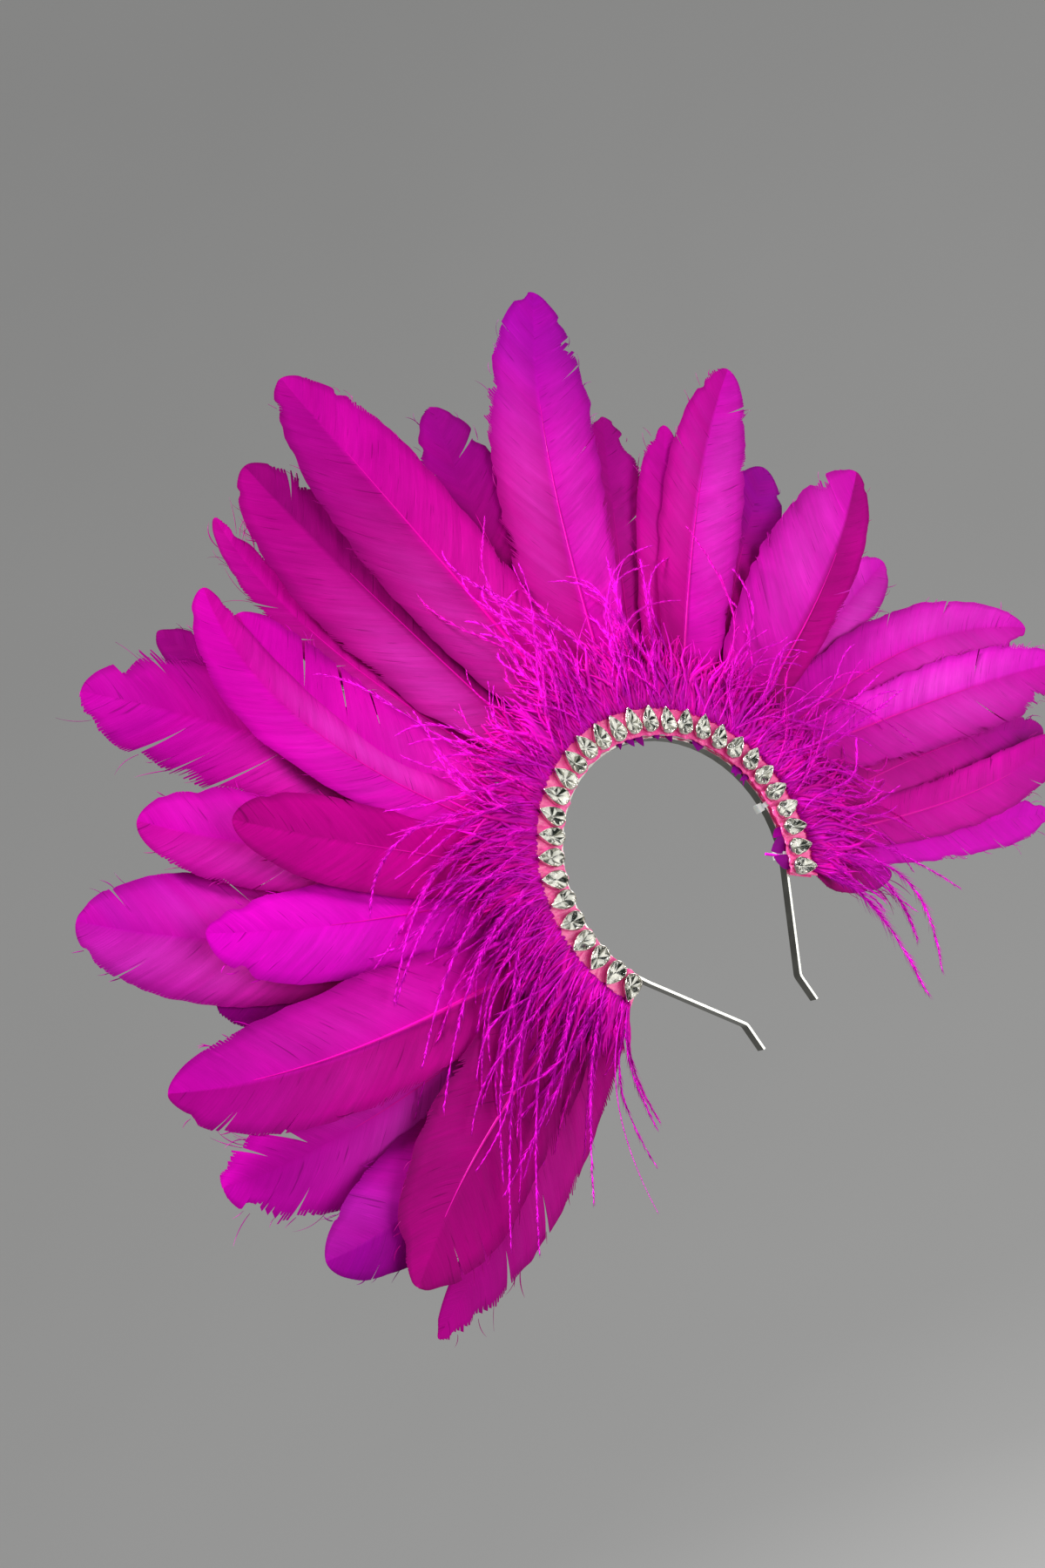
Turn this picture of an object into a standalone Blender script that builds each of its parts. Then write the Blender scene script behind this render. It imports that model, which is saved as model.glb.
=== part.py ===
"""A feather halo crown on a sprung headband.

Frame: +X to the viewer's right, +Y to the back, +Z up as worn. The origin is the inner top of the
headband, halfway across its width, where it rests on the head. Lengths are written in millimetres.

The trim follows one circle, the arch, round the middle of the head opening. A station is an angle on
it in degrees from the top, positive to the viewer's right.
"""

import math
from collections import namedtuple

import bmesh
import bpy
import numpy as np

MM = 0.001

# Headband: a flat steel strip on edge, bent to an arch with two straight arms and turned tips.
BAND_RADIUS = 61.5
BAND_THICKNESS = 1.2
BAND_WIDTH = 5.0
BAND_ROUND_DEG = 124.5
BAND_ARM = 54.0
BAND_TIP = 14.0
BAND_BEND_RADIUS = 4.0
BAND_SECTIONS = 21
BAND_BEND_POINTS = 5
BAND_TURNED_DEG = 4.5  # the trim sits this far round from the headband's own middle

# Gap kept between pieces that touch on the real crown.
GAP = 0.3

SMOOTH_ANGLE_DEG = 35  # edges sharper than this stay sharp

# Ribbons: two flat strips that clamp the quills, the rear one narrower.
RIBBON_END_DEG = 123.5
RIBBON_OUTER = 79.0
RIBBON_THICKNESS = 1.0
RIBBON_SECTIONS = 41
FRONT_RIBBON_INNER = 62.3
FRONT_RIBBON_Y = -4.7
FRONT_RIBBON_WAVE = 0.5
RIBBON_WAVE_STEPS = (1.7, 0.6, 1.0)  # quick ripple, slow swell and its start, in radians a section
BACK_RIBBON_INNER = 64.2
BACK_RIBBON_Y = -0.8
BACK_RIBBON_MARGIN = 1.0

# Stones: pear cut, point outward, each in its own cup.
STONE_COUNT = 30
STONE_RADIUS = 70.0
STONE_PITCH = 10.15
STONE_LENGTH = 13.8
STONE_WIDTH = 8.8
STONE_SIDES = 8
STONE_WIDEST = 0.77  # the greatest value of sin a sin a/2
# Rings of the cup and the stone: their scale, and height over the ribbon in mm.
STONE_RINGS = [(0.90, 0.0), (1.00, 0.6), (1.00, 2.2), (0.92, 2.3), (0.76, 3.7), (0.50, 4.6)]
STONE_TURN_DEG = 7.0
STONE_TURN_STEP = 2.4  # radians from one stone to the next, so that each leans a little its own way
STONE_SHIFT = 0.5
STONE_SHIFT_STEP = 1.9

# Feathers: thin plates on a shallow dish that leans back, in layers that part just outside the ribbon.
QUILL_INNER = 66.0
FEATHER_START = 74.0
FEATHER_THICKNESS = 1.2
QUILL_HALF_WIDTH = 1.3
QUILL_STEPS = 120
VANE_START = 0.1
VANE_SHOULDER = 0.7  # how much of the width is reached at once, past the bare quill
SHOULDER_POWER = 6
TIP_FALL = 2.2
TIP_ROUND = 0.55
DISH_LEAN_DEG = 4.0
DISH_START = 78.0
LAYER_GAP = 3.0
LAYER_FROM = 79.0
LAYER_TO = 98.0
FEATHER_SECTIONS = np.array([0.025, 0.1, 0.17, 0.32, 0.54, 0.74, 0.88, 0.965])
FRONT_QUILL_Y = -3.4
REAR_QUILL_Y = -2.9
TAPE_INNER = 66.5
TAPE_OUTER = 76.0
TAPE_Y = -1.9
TAPE_THICKNESS = 0.8

# Ties: a strap round the headband with a square head on its inner side.
TIE_STRAP_WIDTH = 2.5
TIE_STRAP_THICKNESS = 0.6
TIE_HEAD_LENGTH = 4.2
TIE_HEAD_WIDTH = 3.6
TIE_HEAD_HEIGHT = 3.2

# Ostrich fringe: locks rooted in a narrow backing round the ribbon's outer edge.
FRINGE_INNER = 79.4
FRINGE_OUTER = 82.0
FRINGE_Y = -4.9
FRINGE_THICKNESS = 1.2
LOCK_SECTIONS = 4
LOCK_HALF_WIDTH = 1.7
LOCK_HALF_THICKNESS = 0.5
LOCK_FORWARD = 0.035
LOCK_SWING = 0.25
LOCK_SWING_STEP = 2.1  # radians from one lock to the next
LOCK_LENGTH_SHARE = 0.85
LOCK_LENGTH_CHANGE = 0.15
LOCK_LENGTH_STEP = 1.3
LOCK_ROOT = 0.8  # how far the locks start outside the backing's inner edge
LOCK_BEND = 2.2
LOCK_TAPER = 0.75
LOCK_THINNING = 0.4
HANG = (-0.44, -0.86)  # the way the locks hang, across X and Z

Feather = namedtuple(
    "Feather", "node station splay turn length left right full_left full_right layer"
)

# station: degrees on the arch; splay: first heading off the radial; turn: further turn by the tip;
# length and the two vane widths in mm; full_left and full_right: percent of the length where each
# vane is widest; layer: 0 in front. Left and right are as seen from the front, quill down.
FEATHERS = [
    Feather("rear_feathers_left", -121, 4, 2, 161, 22, 12, 52, 55, 2),
    Feather("feather_01", -115, 6, 31, 170, 20, 27, 75, 64, 1),
    Feather("feather_02", -109, 2, -21, 152, 29, 29, 66, 44, 0),
    Feather("feather_03", -100, 3, 22, 179, 28, 20, 70, 74, 2),
    Feather("feather_04", -93, 6, 24, 184, 25, 28, 66, 52, 0.5),
    Feather("rear_feathers_left", -85, 8, 12, 150, 16, 14, 70, 70, 4),
    Feather("feather_05", -78, 8, 24, 200, 28, 28, 68, 76, 3),
    Feather("feather_06", -72, 0, 11, 150, 24, 19, 70, 62, 1),
    Feather("feather_07", -67, 14, 2, 139, 21, 20, 56, 72, 0),
    Feather("rear_feathers_left", -62, 2, 14, 174, 20, 24, 72, 78, 2),
    Feather("feather_08", -57, 17, 50, 192, 19, 15, 68, 54, 0.45),
    Feather("feather_09", -52, 14, 40, 168, 18, 26, 70, 62, 1),
    Feather("feather_10", -48, 6, -9, 205, 29, 27, 68, 76, 3),
    Feather("rear_feathers_left", -43, 4, 12, 186, 16, 14, 75, 75, 4),
    Feather("rear_feathers_left", -34, 3, 33, 197, 13, 12, 58, 62, 2),
    Feather("feather_11", -25, 8, 3, 199, 30, 24, 60, 74, 1),
    Feather("rear_feathers_top", -15, 2, 6, 172, 20, 20, 62, 62, 2),
    Feather("feather_12", -6, -3, -4, 222, 36, 30, 48, 64, 0),
    Feather("rear_feathers_top", -1, 4, 15, 186, 18, 27, 72, 76, 1),
    Feather("feather_13", 8, 12, 16, 248, 33, 32, 44, 68, 0),
    Feather("rear_feathers_top", 15, 6, 6, 170, 20, 20, 62, 62, 3),
    Feather("rear_feathers_top", 22, 8, 4, 180, 16, 22, 70, 76, 2),
    Feather("rear_feathers_top", 30, 9, 0, 178, 16, 16, 68, 68, 1),
    Feather("feather_14", 37, 5, 12, 229, 21, 30, 64, 56, 0),
    Feather("rear_feathers_top", 44, 4, 4, 172, 20, 20, 62, 62, 2),
    Feather("rear_feathers_top", 50, 0, 8, 184, 20, 22, 70, 76, 1),
    Feather("rear_feathers_top", 56, 4, 6, 160, 18, 18, 62, 62, 3),
    Feather("feather_15", 62, 8, -22, 215, 43, 16, 50, 76, 0),
    Feather("rear_feathers_right", 67, 6, 4, 188, 20, 18, 76, 74, 2),
    Feather("feather_16", 72, 12, 32, 252, 25, 24, 56, 66, 1),
    Feather("feather_17", 78, 19, 7, 256, 22, 27, 70, 66, 0),
    Feather("rear_feathers_right", 85, 10, 8, 165, 20, 20, 62, 62, 2),
    Feather("rear_feathers_right", 93, 4, 8, 160, 18, 18, 62, 62, 3),
    Feather("rear_feathers_right", 101, -7, 19, 222, 18, 24, 64, 66, 1),
    Feather("feather_18", 109, -2, -23, 229, 15, 18, 60, 66, 0),
    Feather("rear_feathers_right", 115, -7, 3, 202, 15, 17, 60, 60, 1),
    Feather("rear_feathers_right", 120, -2, 1, 62, 12, 12, 50, 50, 2),
]

REAR_TAPES = {
    "rear_feathers_left": (-122.5, -31.0),
    "rear_feathers_top": (-17.0, 58.0),
    "rear_feathers_right": (65.5, 122.5),
}

Fringe = namedtuple("Fringe", "node first last locks length droop")

# One stretch of the fringe a row: stations of its ends, locks in it, their length in mm, and how
# strongly they hang.
FRINGES = [
    Fringe("fringe_left", -122.0, -58.0, 16, 62, 0.9),
    Fringe("fringe_top", -54.0, 40.0, 22, 46, 0.35),
    Fringe("fringe_right", 44.0, 122.0, 18, 50, 0.3),
]

Wisp = namedtuple("Wisp", "node station length droop")

# Single long locks that hang below the rest at the two ends.
WISPS = [
    Wisp("fringe_left", -120.0, 95, 1.0),
    Wisp("fringe_left", -104.0, 92, 1.2),
    Wisp("fringe_left", -84.0, 88, 1.3),
    Wisp("fringe_right", 121.5, 92, 1.5),
    Wisp("fringe_right", 116.0, 84, 1.0),
    Wisp("fringe_right", 112.0, 88, 0.5),
]


def clear_scene():
    for obj in list(bpy.data.objects):
        bpy.data.objects.remove(obj, do_unlink=True)


def material(name, colour, roughness, metallic=0.0, transmission=0.0):
    made = bpy.data.materials.new(name)
    made.use_nodes = True
    shader = made.node_tree.nodes["Principled BSDF"]
    shader.inputs["Base Color"].default_value = (*colour, 1.0)
    shader.inputs["Roughness"].default_value = roughness
    shader.inputs["Metallic"].default_value = metallic
    shader.inputs["Transmission Weight"].default_value = transmission
    return made


def add_object(name, points, faces, finish, smooth=True):
    """An object from points in mm, given about the arch's centre, and its faces."""
    mesh = bpy.data.meshes.new(name)
    origin = np.array([0.0, 0.0, BAND_RADIUS])
    mesh.from_pydata(((np.asarray(points) - origin) * MM).tolist(), [], faces)
    edit = bmesh.new()
    edit.from_mesh(mesh)
    bmesh.ops.recalc_face_normals(edit, faces=edit.faces)
    edit.to_mesh(mesh)
    edit.free()
    if smooth:
        mesh.shade_smooth()
        mesh.set_sharp_from_angle(angle=math.radians(SMOOTH_ANGLE_DEG))
    mesh.materials.append(finish)
    obj = bpy.data.objects.new(name, mesh)
    bpy.context.collection.objects.link(obj)
    return obj


def tube_faces(rings, sides):
    """Faces of a closed tube whose points are listed ring after ring."""
    faces = []
    for ring in range(rings - 1):
        low = ring * sides
        for side in range(sides):
            after = (side + 1) % sides
            faces.append((low + side, low + after, low + sides + after, low + sides + side))
    faces.append(tuple(reversed(range(sides))))
    faces.append(tuple(range((rings - 1) * sides, rings * sides)))
    return faces


def on_arch(station_deg, radius, y):
    station = math.radians(station_deg)
    return np.array([radius * math.sin(station), y, radius * math.cos(station)])


def smooth_step(value):
    value = np.clip(value, 0.0, 1.0)
    return value * value * (3.0 - 2.0 * value)


def join_helpers(base, helpers):
    """Fuses the helper solids into the base with one Boolean union."""
    parts = bpy.data.collections.new(base.name + "_parts")
    bpy.context.scene.collection.children.link(parts)
    for helper in helpers:
        bpy.context.collection.objects.unlink(helper)
        parts.objects.link(helper)
        helper.hide_render = True
        helper.display_type = "WIRE"
    union = base.modifiers.new("union", "BOOLEAN")
    union.operation = "UNION"
    union.operand_type = "COLLECTION"
    union.collection = parts
    union.solver = "EXACT"


def band_centre_line():
    """Points and outward directions of the headband's middle line, left tip to right tip."""
    radius = BAND_RADIUS + BAND_THICKNESS / 2
    stations = np.radians(np.linspace(0, BAND_ROUND_DEG, BAND_SECTIONS))
    half = [(radius * math.sin(station), radius * math.cos(station)) for station in stations]
    heading = math.radians(BAND_ROUND_DEG) + math.pi / 2
    down = math.pi
    bend = down - heading
    tangent = BAND_BEND_RADIUS * math.tan(abs(bend) / 2)
    x, z = half[-1]
    straight = BAND_ARM - tangent
    x += straight * math.sin(heading)
    z += straight * math.cos(heading)
    half.append((x, z))
    step = 2 * BAND_BEND_RADIUS * math.sin(abs(bend) / (2 * BAND_BEND_POINTS))
    for index in range(BAND_BEND_POINTS):
        way = heading + bend * (index + 0.5) / BAND_BEND_POINTS
        x += step * math.sin(way)
        z += step * math.cos(way)
        half.append((x, z))
    half.append((x, z - (BAND_TIP - tangent)))
    right = np.array(half)
    left = right[:0:-1] * [-1, 1]
    line = np.vstack([left, right])
    along = np.gradient(line, axis=0)
    along /= np.linalg.norm(along, axis=1)[:, None]
    outward = np.stack([-along[:, 1], along[:, 0]], axis=1)
    turned = math.radians(BAND_TURNED_DEG)
    spin = np.array([[math.cos(turned), math.sin(turned)], [-math.sin(turned), math.cos(turned)]])
    return line @ spin, outward @ spin


def make_headband(finish):
    line, outward = band_centre_line()
    points = []
    for (x, z), (nx, nz) in zip(line, outward):
        for side, y in ((-1, -1), (1, -1), (1, 1), (-1, 1)):
            offset = side * BAND_THICKNESS / 2
            points.append((x + offset * nx, y * BAND_WIDTH / 2, z + offset * nz))
    add_object("headband", points, tube_faces(len(line), 4), finish)


def ribbon_strip(name, inner, outer, y, end_deg, wave, finish):
    quick, slow, start = RIBBON_WAVE_STEPS
    stations = np.linspace(-end_deg, end_deg, RIBBON_SECTIONS)
    points = []
    for index, station in enumerate(stations):
        ripple = wave * math.sin(index * quick) * math.sin(index * slow + start)
        points.append(on_arch(station, inner + ripple, y))
        points.append(on_arch(station, outer, y))
        points.append(on_arch(station, outer, y + RIBBON_THICKNESS))
        points.append(on_arch(station, inner + ripple, y + RIBBON_THICKNESS))
    add_object(name, points, tube_faces(len(stations), 4), finish)


def pear_outline(length, width):
    """Teardrop outline across the arch and along its radius, point outward."""
    turns = np.linspace(0, 2 * math.pi, STONE_SIDES, endpoint=False)
    across = width / 2 / STONE_WIDEST * np.sin(turns) * np.sin(turns / 2)
    return np.stack([across, length / 2 * np.cos(turns)], axis=1)


def make_stone(number, finish):
    """A cup with a straight wall, then the stone's girdle, crown and table, as one closed body."""
    back = FRONT_RIBBON_Y - GAP
    pitch_deg = math.degrees(STONE_PITCH / STONE_RADIUS)
    station = math.radians((number - (STONE_COUNT + 1) / 2) * pitch_deg)
    turned = math.radians(STONE_TURN_DEG) * math.sin(number * STONE_TURN_STEP)
    radius = STONE_RADIUS + STONE_SHIFT * math.sin(number * STONE_SHIFT_STEP)
    outline = pear_outline(STONE_LENGTH, STONE_WIDTH)
    spin = np.array([[math.cos(turned), -math.sin(turned)], [math.sin(turned), math.cos(turned)]])
    outline = outline @ spin
    out = np.array([math.sin(station), math.cos(station)])
    across = np.array([math.cos(station), -math.sin(station)])
    points = []
    for scale, height in STONE_RINGS:
        flat = scale * (outline[:, :1] * across + outline[:, 1:] * out) + radius * out
        points.extend([(x, back - height, z) for x, z in flat])
    faces = tube_faces(len(STONE_RINGS), STONE_SIDES)
    add_object(f"stone_{number:02d}", points, faces, finish, smooth=False)


def quill_path(feather, shares):
    """Points across X and Z and headings in radians at the given shares of the feather's length."""
    fine = np.linspace(0, 1, QUILL_STEPS + 1)
    heading = np.radians(feather.station + feather.splay + feather.turn * fine**2)
    way = np.stack([np.sin(heading), np.cos(heading)], axis=1) * feather.length / QUILL_STEPS
    start = on_arch(feather.station, FEATHER_START, 0)[[0, 2]]
    steps = np.vstack([np.zeros(2), (way[1:] + way[:-1]) / 2])
    line = start + np.cumsum(steps, axis=0)
    points = np.stack([np.interp(shares, fine, line[:, axis]) for axis in (0, 1)], axis=1)
    return points, np.interp(shares, fine, heading)


def vane_share(shares, full_percent):
    """How wide a vane is along the quill, 0 to 1: a smooth rise to its fullest, then a round tip."""
    full = full_percent / 100
    rise = np.clip((shares - VANE_START) / (full - VANE_START), 0, 1)
    rise = VANE_SHOULDER * (1 - (1 - rise) ** SHOULDER_POWER) + (1 - VANE_SHOULDER) * smooth_step(rise)
    fall = np.clip((shares - full) / (1 - full), 0, 1)
    return np.where(shares < full, rise, np.maximum(1 - fall**TIP_FALL, 0) ** TIP_ROUND)


def dish_depth(radius, layer):
    """How far back a layer lies at a distance from the arch's centre, measured from its quill."""
    lean = math.tan(math.radians(DISH_LEAN_DEG)) * np.maximum(radius - DISH_START, 0)
    parted = smooth_step((radius - LAYER_FROM) / (LAYER_TO - LAYER_FROM))
    return lean + layer * LAYER_GAP * parted


def make_feather(name, feather, quill_y, finish):
    middle, heading = quill_path(feather, FEATHER_SECTIONS)
    across = np.stack([np.cos(heading), -np.sin(heading)], axis=1)
    widths = []
    for width, full in ((feather.left, feather.full_left), (feather.right, feather.full_right)):
        vane = vane_share(FEATHER_SECTIONS, full)
        widths.append(QUILL_HALF_WIDTH + (width - QUILL_HALF_WIDTH) * vane)
    left = middle - across * widths[0][:, None]
    right = middle + across * widths[1][:, None]
    root = on_arch(feather.station, QUILL_INNER, 0)[[0, 2]]
    side = across[0] * QUILL_HALF_WIDTH
    sections = [(root - side, root, root + side), *zip(left, middle, right)]
    points = []
    for section in sections:
        flat = []
        for x, z in section:
            flat.append((x, quill_y + dish_depth(math.hypot(x, z), feather.layer), z))
        points.extend(flat)
        points.extend([(x, y + FEATHER_THICKNESS, z) for x, y, z in reversed(flat)])
    return add_object(name, points, tube_faces(len(sections), 6), finish)


def arc_strip(name, first, last, inner, outer, y, thickness, finish):
    stations = np.linspace(first, last, max(8, int(abs(last - first) / 5)))
    points = []
    for station in stations:
        points.append(on_arch(station, inner, y))
        points.append(on_arch(station, outer, y))
        points.append(on_arch(station, outer, y + thickness))
        points.append(on_arch(station, inner, y + thickness))
    return add_object(name, points, tube_faces(len(stations), 4), finish)


def make_feathers(finish, rear_finish):
    rows = {node: [] for node in REAR_TAPES}
    for number, feather in enumerate(FEATHERS, start=1):
        if feather.node in rows:
            helper = make_feather(f"rear_{number:02d}", feather, REAR_QUILL_Y, rear_finish)
            rows[feather.node].append(helper)
        else:
            make_feather(feather.node, feather, FRONT_QUILL_Y, finish)
    for node, (first, last) in REAR_TAPES.items():
        tape = arc_strip(node, first, last, TAPE_INNER, TAPE_OUTER, TAPE_Y, TAPE_THICKNESS, rear_finish)
        join_helpers(tape, rows[node])


def make_tie(name, station_deg, finish):
    """A rectangular strap loop round the headband's section and a square head inside it."""
    inner = BAND_RADIUS - GAP
    outer = BAND_RADIUS + BAND_THICKNESS + GAP
    depth = BAND_WIDTH / 2 + GAP
    thick = TIE_STRAP_THICKNESS
    loop = [
        [(inner, -depth), (outer, -depth), (outer, depth), (inner, depth)],
        [
            (inner - thick, -depth - thick),
            (outer + thick, -depth - thick),
            (outer + thick, depth + thick),
            (inner - thick, depth + thick),
        ],
    ]
    station = math.radians(station_deg)
    out = np.array([math.sin(station), 0, math.cos(station)])
    back = np.array([0, 1, 0])
    along = np.array([math.cos(station), 0, -math.sin(station)])
    points = []
    for side in (-1, 1):
        for ring in loop:
            for radius, y in ring:
                points.append(out * radius + back * y + along * side * TIE_STRAP_WIDTH / 2)
    faces = []
    for corner in range(4):
        after = (corner + 1) % 4
        faces.append((corner, after, 4 + after, 4 + corner))
        faces.append((8 + corner, 12 + corner, 12 + after, 8 + after))
        faces.append((corner, 8 + corner, 8 + after, after))
        faces.append((4 + corner, 4 + after, 12 + after, 12 + corner))
    strap = add_object(name, points, faces, finish)
    top = inner - thick / 2
    block = []
    for side in (-1, 1):
        for radius, y in ((top, -1), (top, 1), (top - TIE_HEAD_HEIGHT, 1), (top - TIE_HEAD_HEIGHT, -1)):
            offset = along * side * TIE_HEAD_LENGTH / 2 + back * y * TIE_HEAD_WIDTH / 2
            block.append(out * radius + offset)
    head = add_object(name + "_head", block, tube_faces(2, 4), finish)
    join_helpers(strap, [head])


def make_lock(name, station, length, droop, swing, finish):
    """A flat tapering lock that leaves the backing radially and bends the way it hangs."""
    shares = np.linspace(0, 1, LOCK_SECTIONS)
    start = on_arch(station, FRINGE_INNER + LOCK_ROOT, 0)[[0, 2]]
    radial = np.array([math.sin(math.radians(station)), math.cos(math.radians(station))])
    sideways = np.array([radial[1], -radial[0]])
    hang = np.array(HANG)
    point = start.copy()
    points = []
    for index, share in enumerate(shares):
        way = radial + sideways * swing + hang * droop * LOCK_BEND * share
        way /= np.linalg.norm(way)
        if index:
            point = point + way * length / (len(shares) - 1)
        side = np.array([way[1], -way[0]])
        width = LOCK_HALF_WIDTH * (1 - LOCK_TAPER * share)
        thick = LOCK_HALF_THICKNESS * (1 - LOCK_THINNING * share)
        middle = FRINGE_Y + FRINGE_THICKNESS / 2 - LOCK_FORWARD * length * share
        for across, depth in ((-1, 0), (0, -1), (1, 0), (0, 1)):
            x, z = point + side * across * width
            points.append((x, middle + depth * thick, z))
    return add_object(name, points, tube_faces(len(shares), 4), finish)


def make_fringe(finish):
    for fringe in FRINGES:
        backing = arc_strip(
            fringe.node,
            fringe.first - 1,
            fringe.last + 1,
            FRINGE_INNER,
            FRINGE_OUTER,
            FRINGE_Y,
            FRINGE_THICKNESS,
            finish,
        )
        locks = []
        for index, station in enumerate(np.linspace(fringe.first, fringe.last, fringe.locks)):
            ease = math.sin(math.pi * index / (fringe.locks - 1))
            swing = LOCK_SWING * math.sin(index * LOCK_SWING_STEP) * ease
            change = LOCK_LENGTH_CHANGE * math.cos(index * LOCK_LENGTH_STEP)
            length = fringe.length * (LOCK_LENGTH_SHARE + change)
            name = f"{fringe.node}_lock_{index:02d}"
            locks.append(make_lock(name, station, length, fringe.droop, swing, finish))
        for index, wisp in enumerate(WISPS):
            if wisp.node == fringe.node:
                name = f"{fringe.node}_wisp_{index}"
                locks.append(make_lock(name, wisp.station, wisp.length, wisp.droop, 0.0, finish))
        join_helpers(backing, locks)


def main():
    clear_scene()
    steel = material("steel", (0.20, 0.20, 0.19), 0.25, metallic=1.0)
    satin = material("pink_satin", (0.80, 0.12, 0.35), 0.45)
    crystal = material("crystal", (0.93, 0.93, 0.90), 0.05, transmission=0.6)
    nylon = material("white_nylon", (0.80, 0.80, 0.78), 0.5)
    goose = material("dyed_goose", (0.65, 0.00, 0.40), 0.6)
    rear_goose = material("dyed_goose_rear", (0.42, 0.00, 0.30), 0.6)
    ostrich = material("dyed_ostrich", (0.80, 0.02, 0.65), 0.7)
    make_headband(steel)
    ribbon_strip(
        "front_ribbon",
        FRONT_RIBBON_INNER,
        RIBBON_OUTER,
        FRONT_RIBBON_Y,
        RIBBON_END_DEG,
        FRONT_RIBBON_WAVE,
        satin,
    )
    ribbon_strip(
        "back_ribbon",
        BACK_RIBBON_INNER,
        RIBBON_OUTER - BACK_RIBBON_MARGIN,
        BACK_RIBBON_Y,
        RIBBON_END_DEG,
        0.0,
        satin,
    )
    for number in range(1, STONE_COUNT + 1):
        make_stone(number, crystal)
    make_tie("tie_right_upper", 90.0, nylon)
    make_tie("tie_right_lower", 114.5, nylon)
    make_feathers(goose, rear_goose)
    make_fringe(ostrich)


main()
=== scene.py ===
"""Feather halo crown: goose feathers, ostrich fringe, satin ribbons and pear stones on a steel headband.

Shapes are worked out in millimetres about the middle of the arch, with X to the viewer's right, Y to
the back and Z up. A station is an angle on the arch in degrees from its top, positive to the right.
"""

import math
from collections import namedtuple

import bpy
import numpy as np
from mathutils import Matrix, Vector


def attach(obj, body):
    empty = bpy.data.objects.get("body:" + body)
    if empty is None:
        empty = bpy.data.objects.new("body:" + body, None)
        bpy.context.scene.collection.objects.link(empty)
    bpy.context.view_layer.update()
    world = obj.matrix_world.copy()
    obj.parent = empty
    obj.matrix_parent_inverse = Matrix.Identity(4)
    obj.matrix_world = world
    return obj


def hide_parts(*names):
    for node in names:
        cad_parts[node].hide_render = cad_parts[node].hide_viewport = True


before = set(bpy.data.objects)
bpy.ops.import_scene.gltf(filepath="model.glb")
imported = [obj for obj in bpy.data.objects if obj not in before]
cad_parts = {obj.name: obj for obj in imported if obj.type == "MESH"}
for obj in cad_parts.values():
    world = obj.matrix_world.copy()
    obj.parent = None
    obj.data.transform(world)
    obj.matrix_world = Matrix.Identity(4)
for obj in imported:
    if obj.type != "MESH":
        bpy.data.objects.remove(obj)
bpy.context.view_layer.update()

bl_info = {
    "name": "Feather Halo Crown",
    "version": (1, 0, 0),
    "blender": (4, 5, 0),
    "location": "3D View > Sidebar > Crown",
    "description": "Builds a dyed feather crown with a fringe, stones and ribbons on a headband",
    "category": "Object",
}

MM = 0.001
TURN = 2 * math.pi
ARCH_TOP = 61.5  # the origin's height over the arch's centre
WHITE = (1.0, 1.0, 1.0)
Y_AXIS = np.array([0.0, 1.0, 0.0])
TETRAHEDRON = np.array([[0, 1, 3], [1, 2, 3], [2, 0, 3], [0, 2, 1]])

# Places of the solids that carry the trim, in mm.
QUILL_INNER = 66.0
FEATHER_START = 74.0
QUILL_HALF_WIDTH = 1.3
DISH_LEAN_DEG = 4.0
DISH_START = 78.0
LAYER_GAP = 3.0
LAYER_FROM = 79.0
LAYER_TO = 98.0
FRONT_QUILL_Y = -3.4
REAR_QUILL_Y = -2.9
TAPE_Y = -1.5
TAPE_RADIUS = 71.25
TAPE_HALF_WIDTH = 4.75
TAPE_HALF_DEPTH = 0.4
TAPE_SECTIONS = 60
FRONT_RIBBON_Y = -4.7
BACK_RIBBON_Y = -0.8
RIBBON_END_DEG = 123.5
RIBBON_SECTIONS = 560
RIBBON_POINTS = 12  # across one face of the ribbon
RIBBON_SHARP_DEG = 50
STONE_COUNT = 30
STONE_RADIUS = 70.0
STONE_PITCH = 10.15
STONE_PITCH_DEG = math.degrees(STONE_PITCH / STONE_RADIUS)
STONE_SHIFT = 0.5  # how far a stone may be sewn out of its row
STONE_TURN_DEG = 7.0  # and how far it may be turned
STONE_GAP = 0.3
HEART_SHARE = -0.07  # where a stone's heart lies along it, as a share of its length
CUP_MARGIN = 1.0
CUP_FLOOR = 0.4
FOIL_DEPTH = 0.1

# The ribbons by piece and solid: inner and outer radius, depth of the front face, and how far the
# inner edge curls.
RIBBONS = (
    ("front_satin_ribbon", "front_ribbon", 62.3, 79.0, FRONT_RIBBON_Y, 1.0),
    ("back_satin_ribbon", "back_ribbon", 64.2, 78.0, BACK_RIBBON_Y, 0.5),
)

# A vane: where it starts along the quill, how much of its width it reaches at once, how steeply, the
# two powers of its round tip, and how deep the notches near the tip may be, as a share of its width.
VANE_START = 0.03
VANE_SHOULDER = 0.7
SHOULDER_POWER = 6
TIP_FALL = 2.2
TIP_ROUND = 0.55
TIP_BITE = 0.22

# Barbs: their spacing at the edge, how far they sweep forward, how thick a vane and a barbule are, and
# where along a barb its points lie, as shares of the part that holds together and then of the rest.
BARB_PITCH = 1.5
SWEEP = 1.05
VANE_THICKNESS = 0.16
BARBULE_WIDTH = 0.20
HELD_POINTS = (0.0, 0.11, 0.28, 0.47, 0.67, 0.85, 1.0)
LOOSE_POINTS = (0.5, 1.0)
HELD_SHARE = 0.965  # how much of a barb holds on to its neighbours where the edge is neat
WISP_THICKNESS = 0.09
QUILL_STEPS = 200
SHAFT_SECTIONS = 44
FEATHER_SHARP_DEG = 60
MERGE_PER_MM = 2000  # points less than one part of this apart are merged

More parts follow.
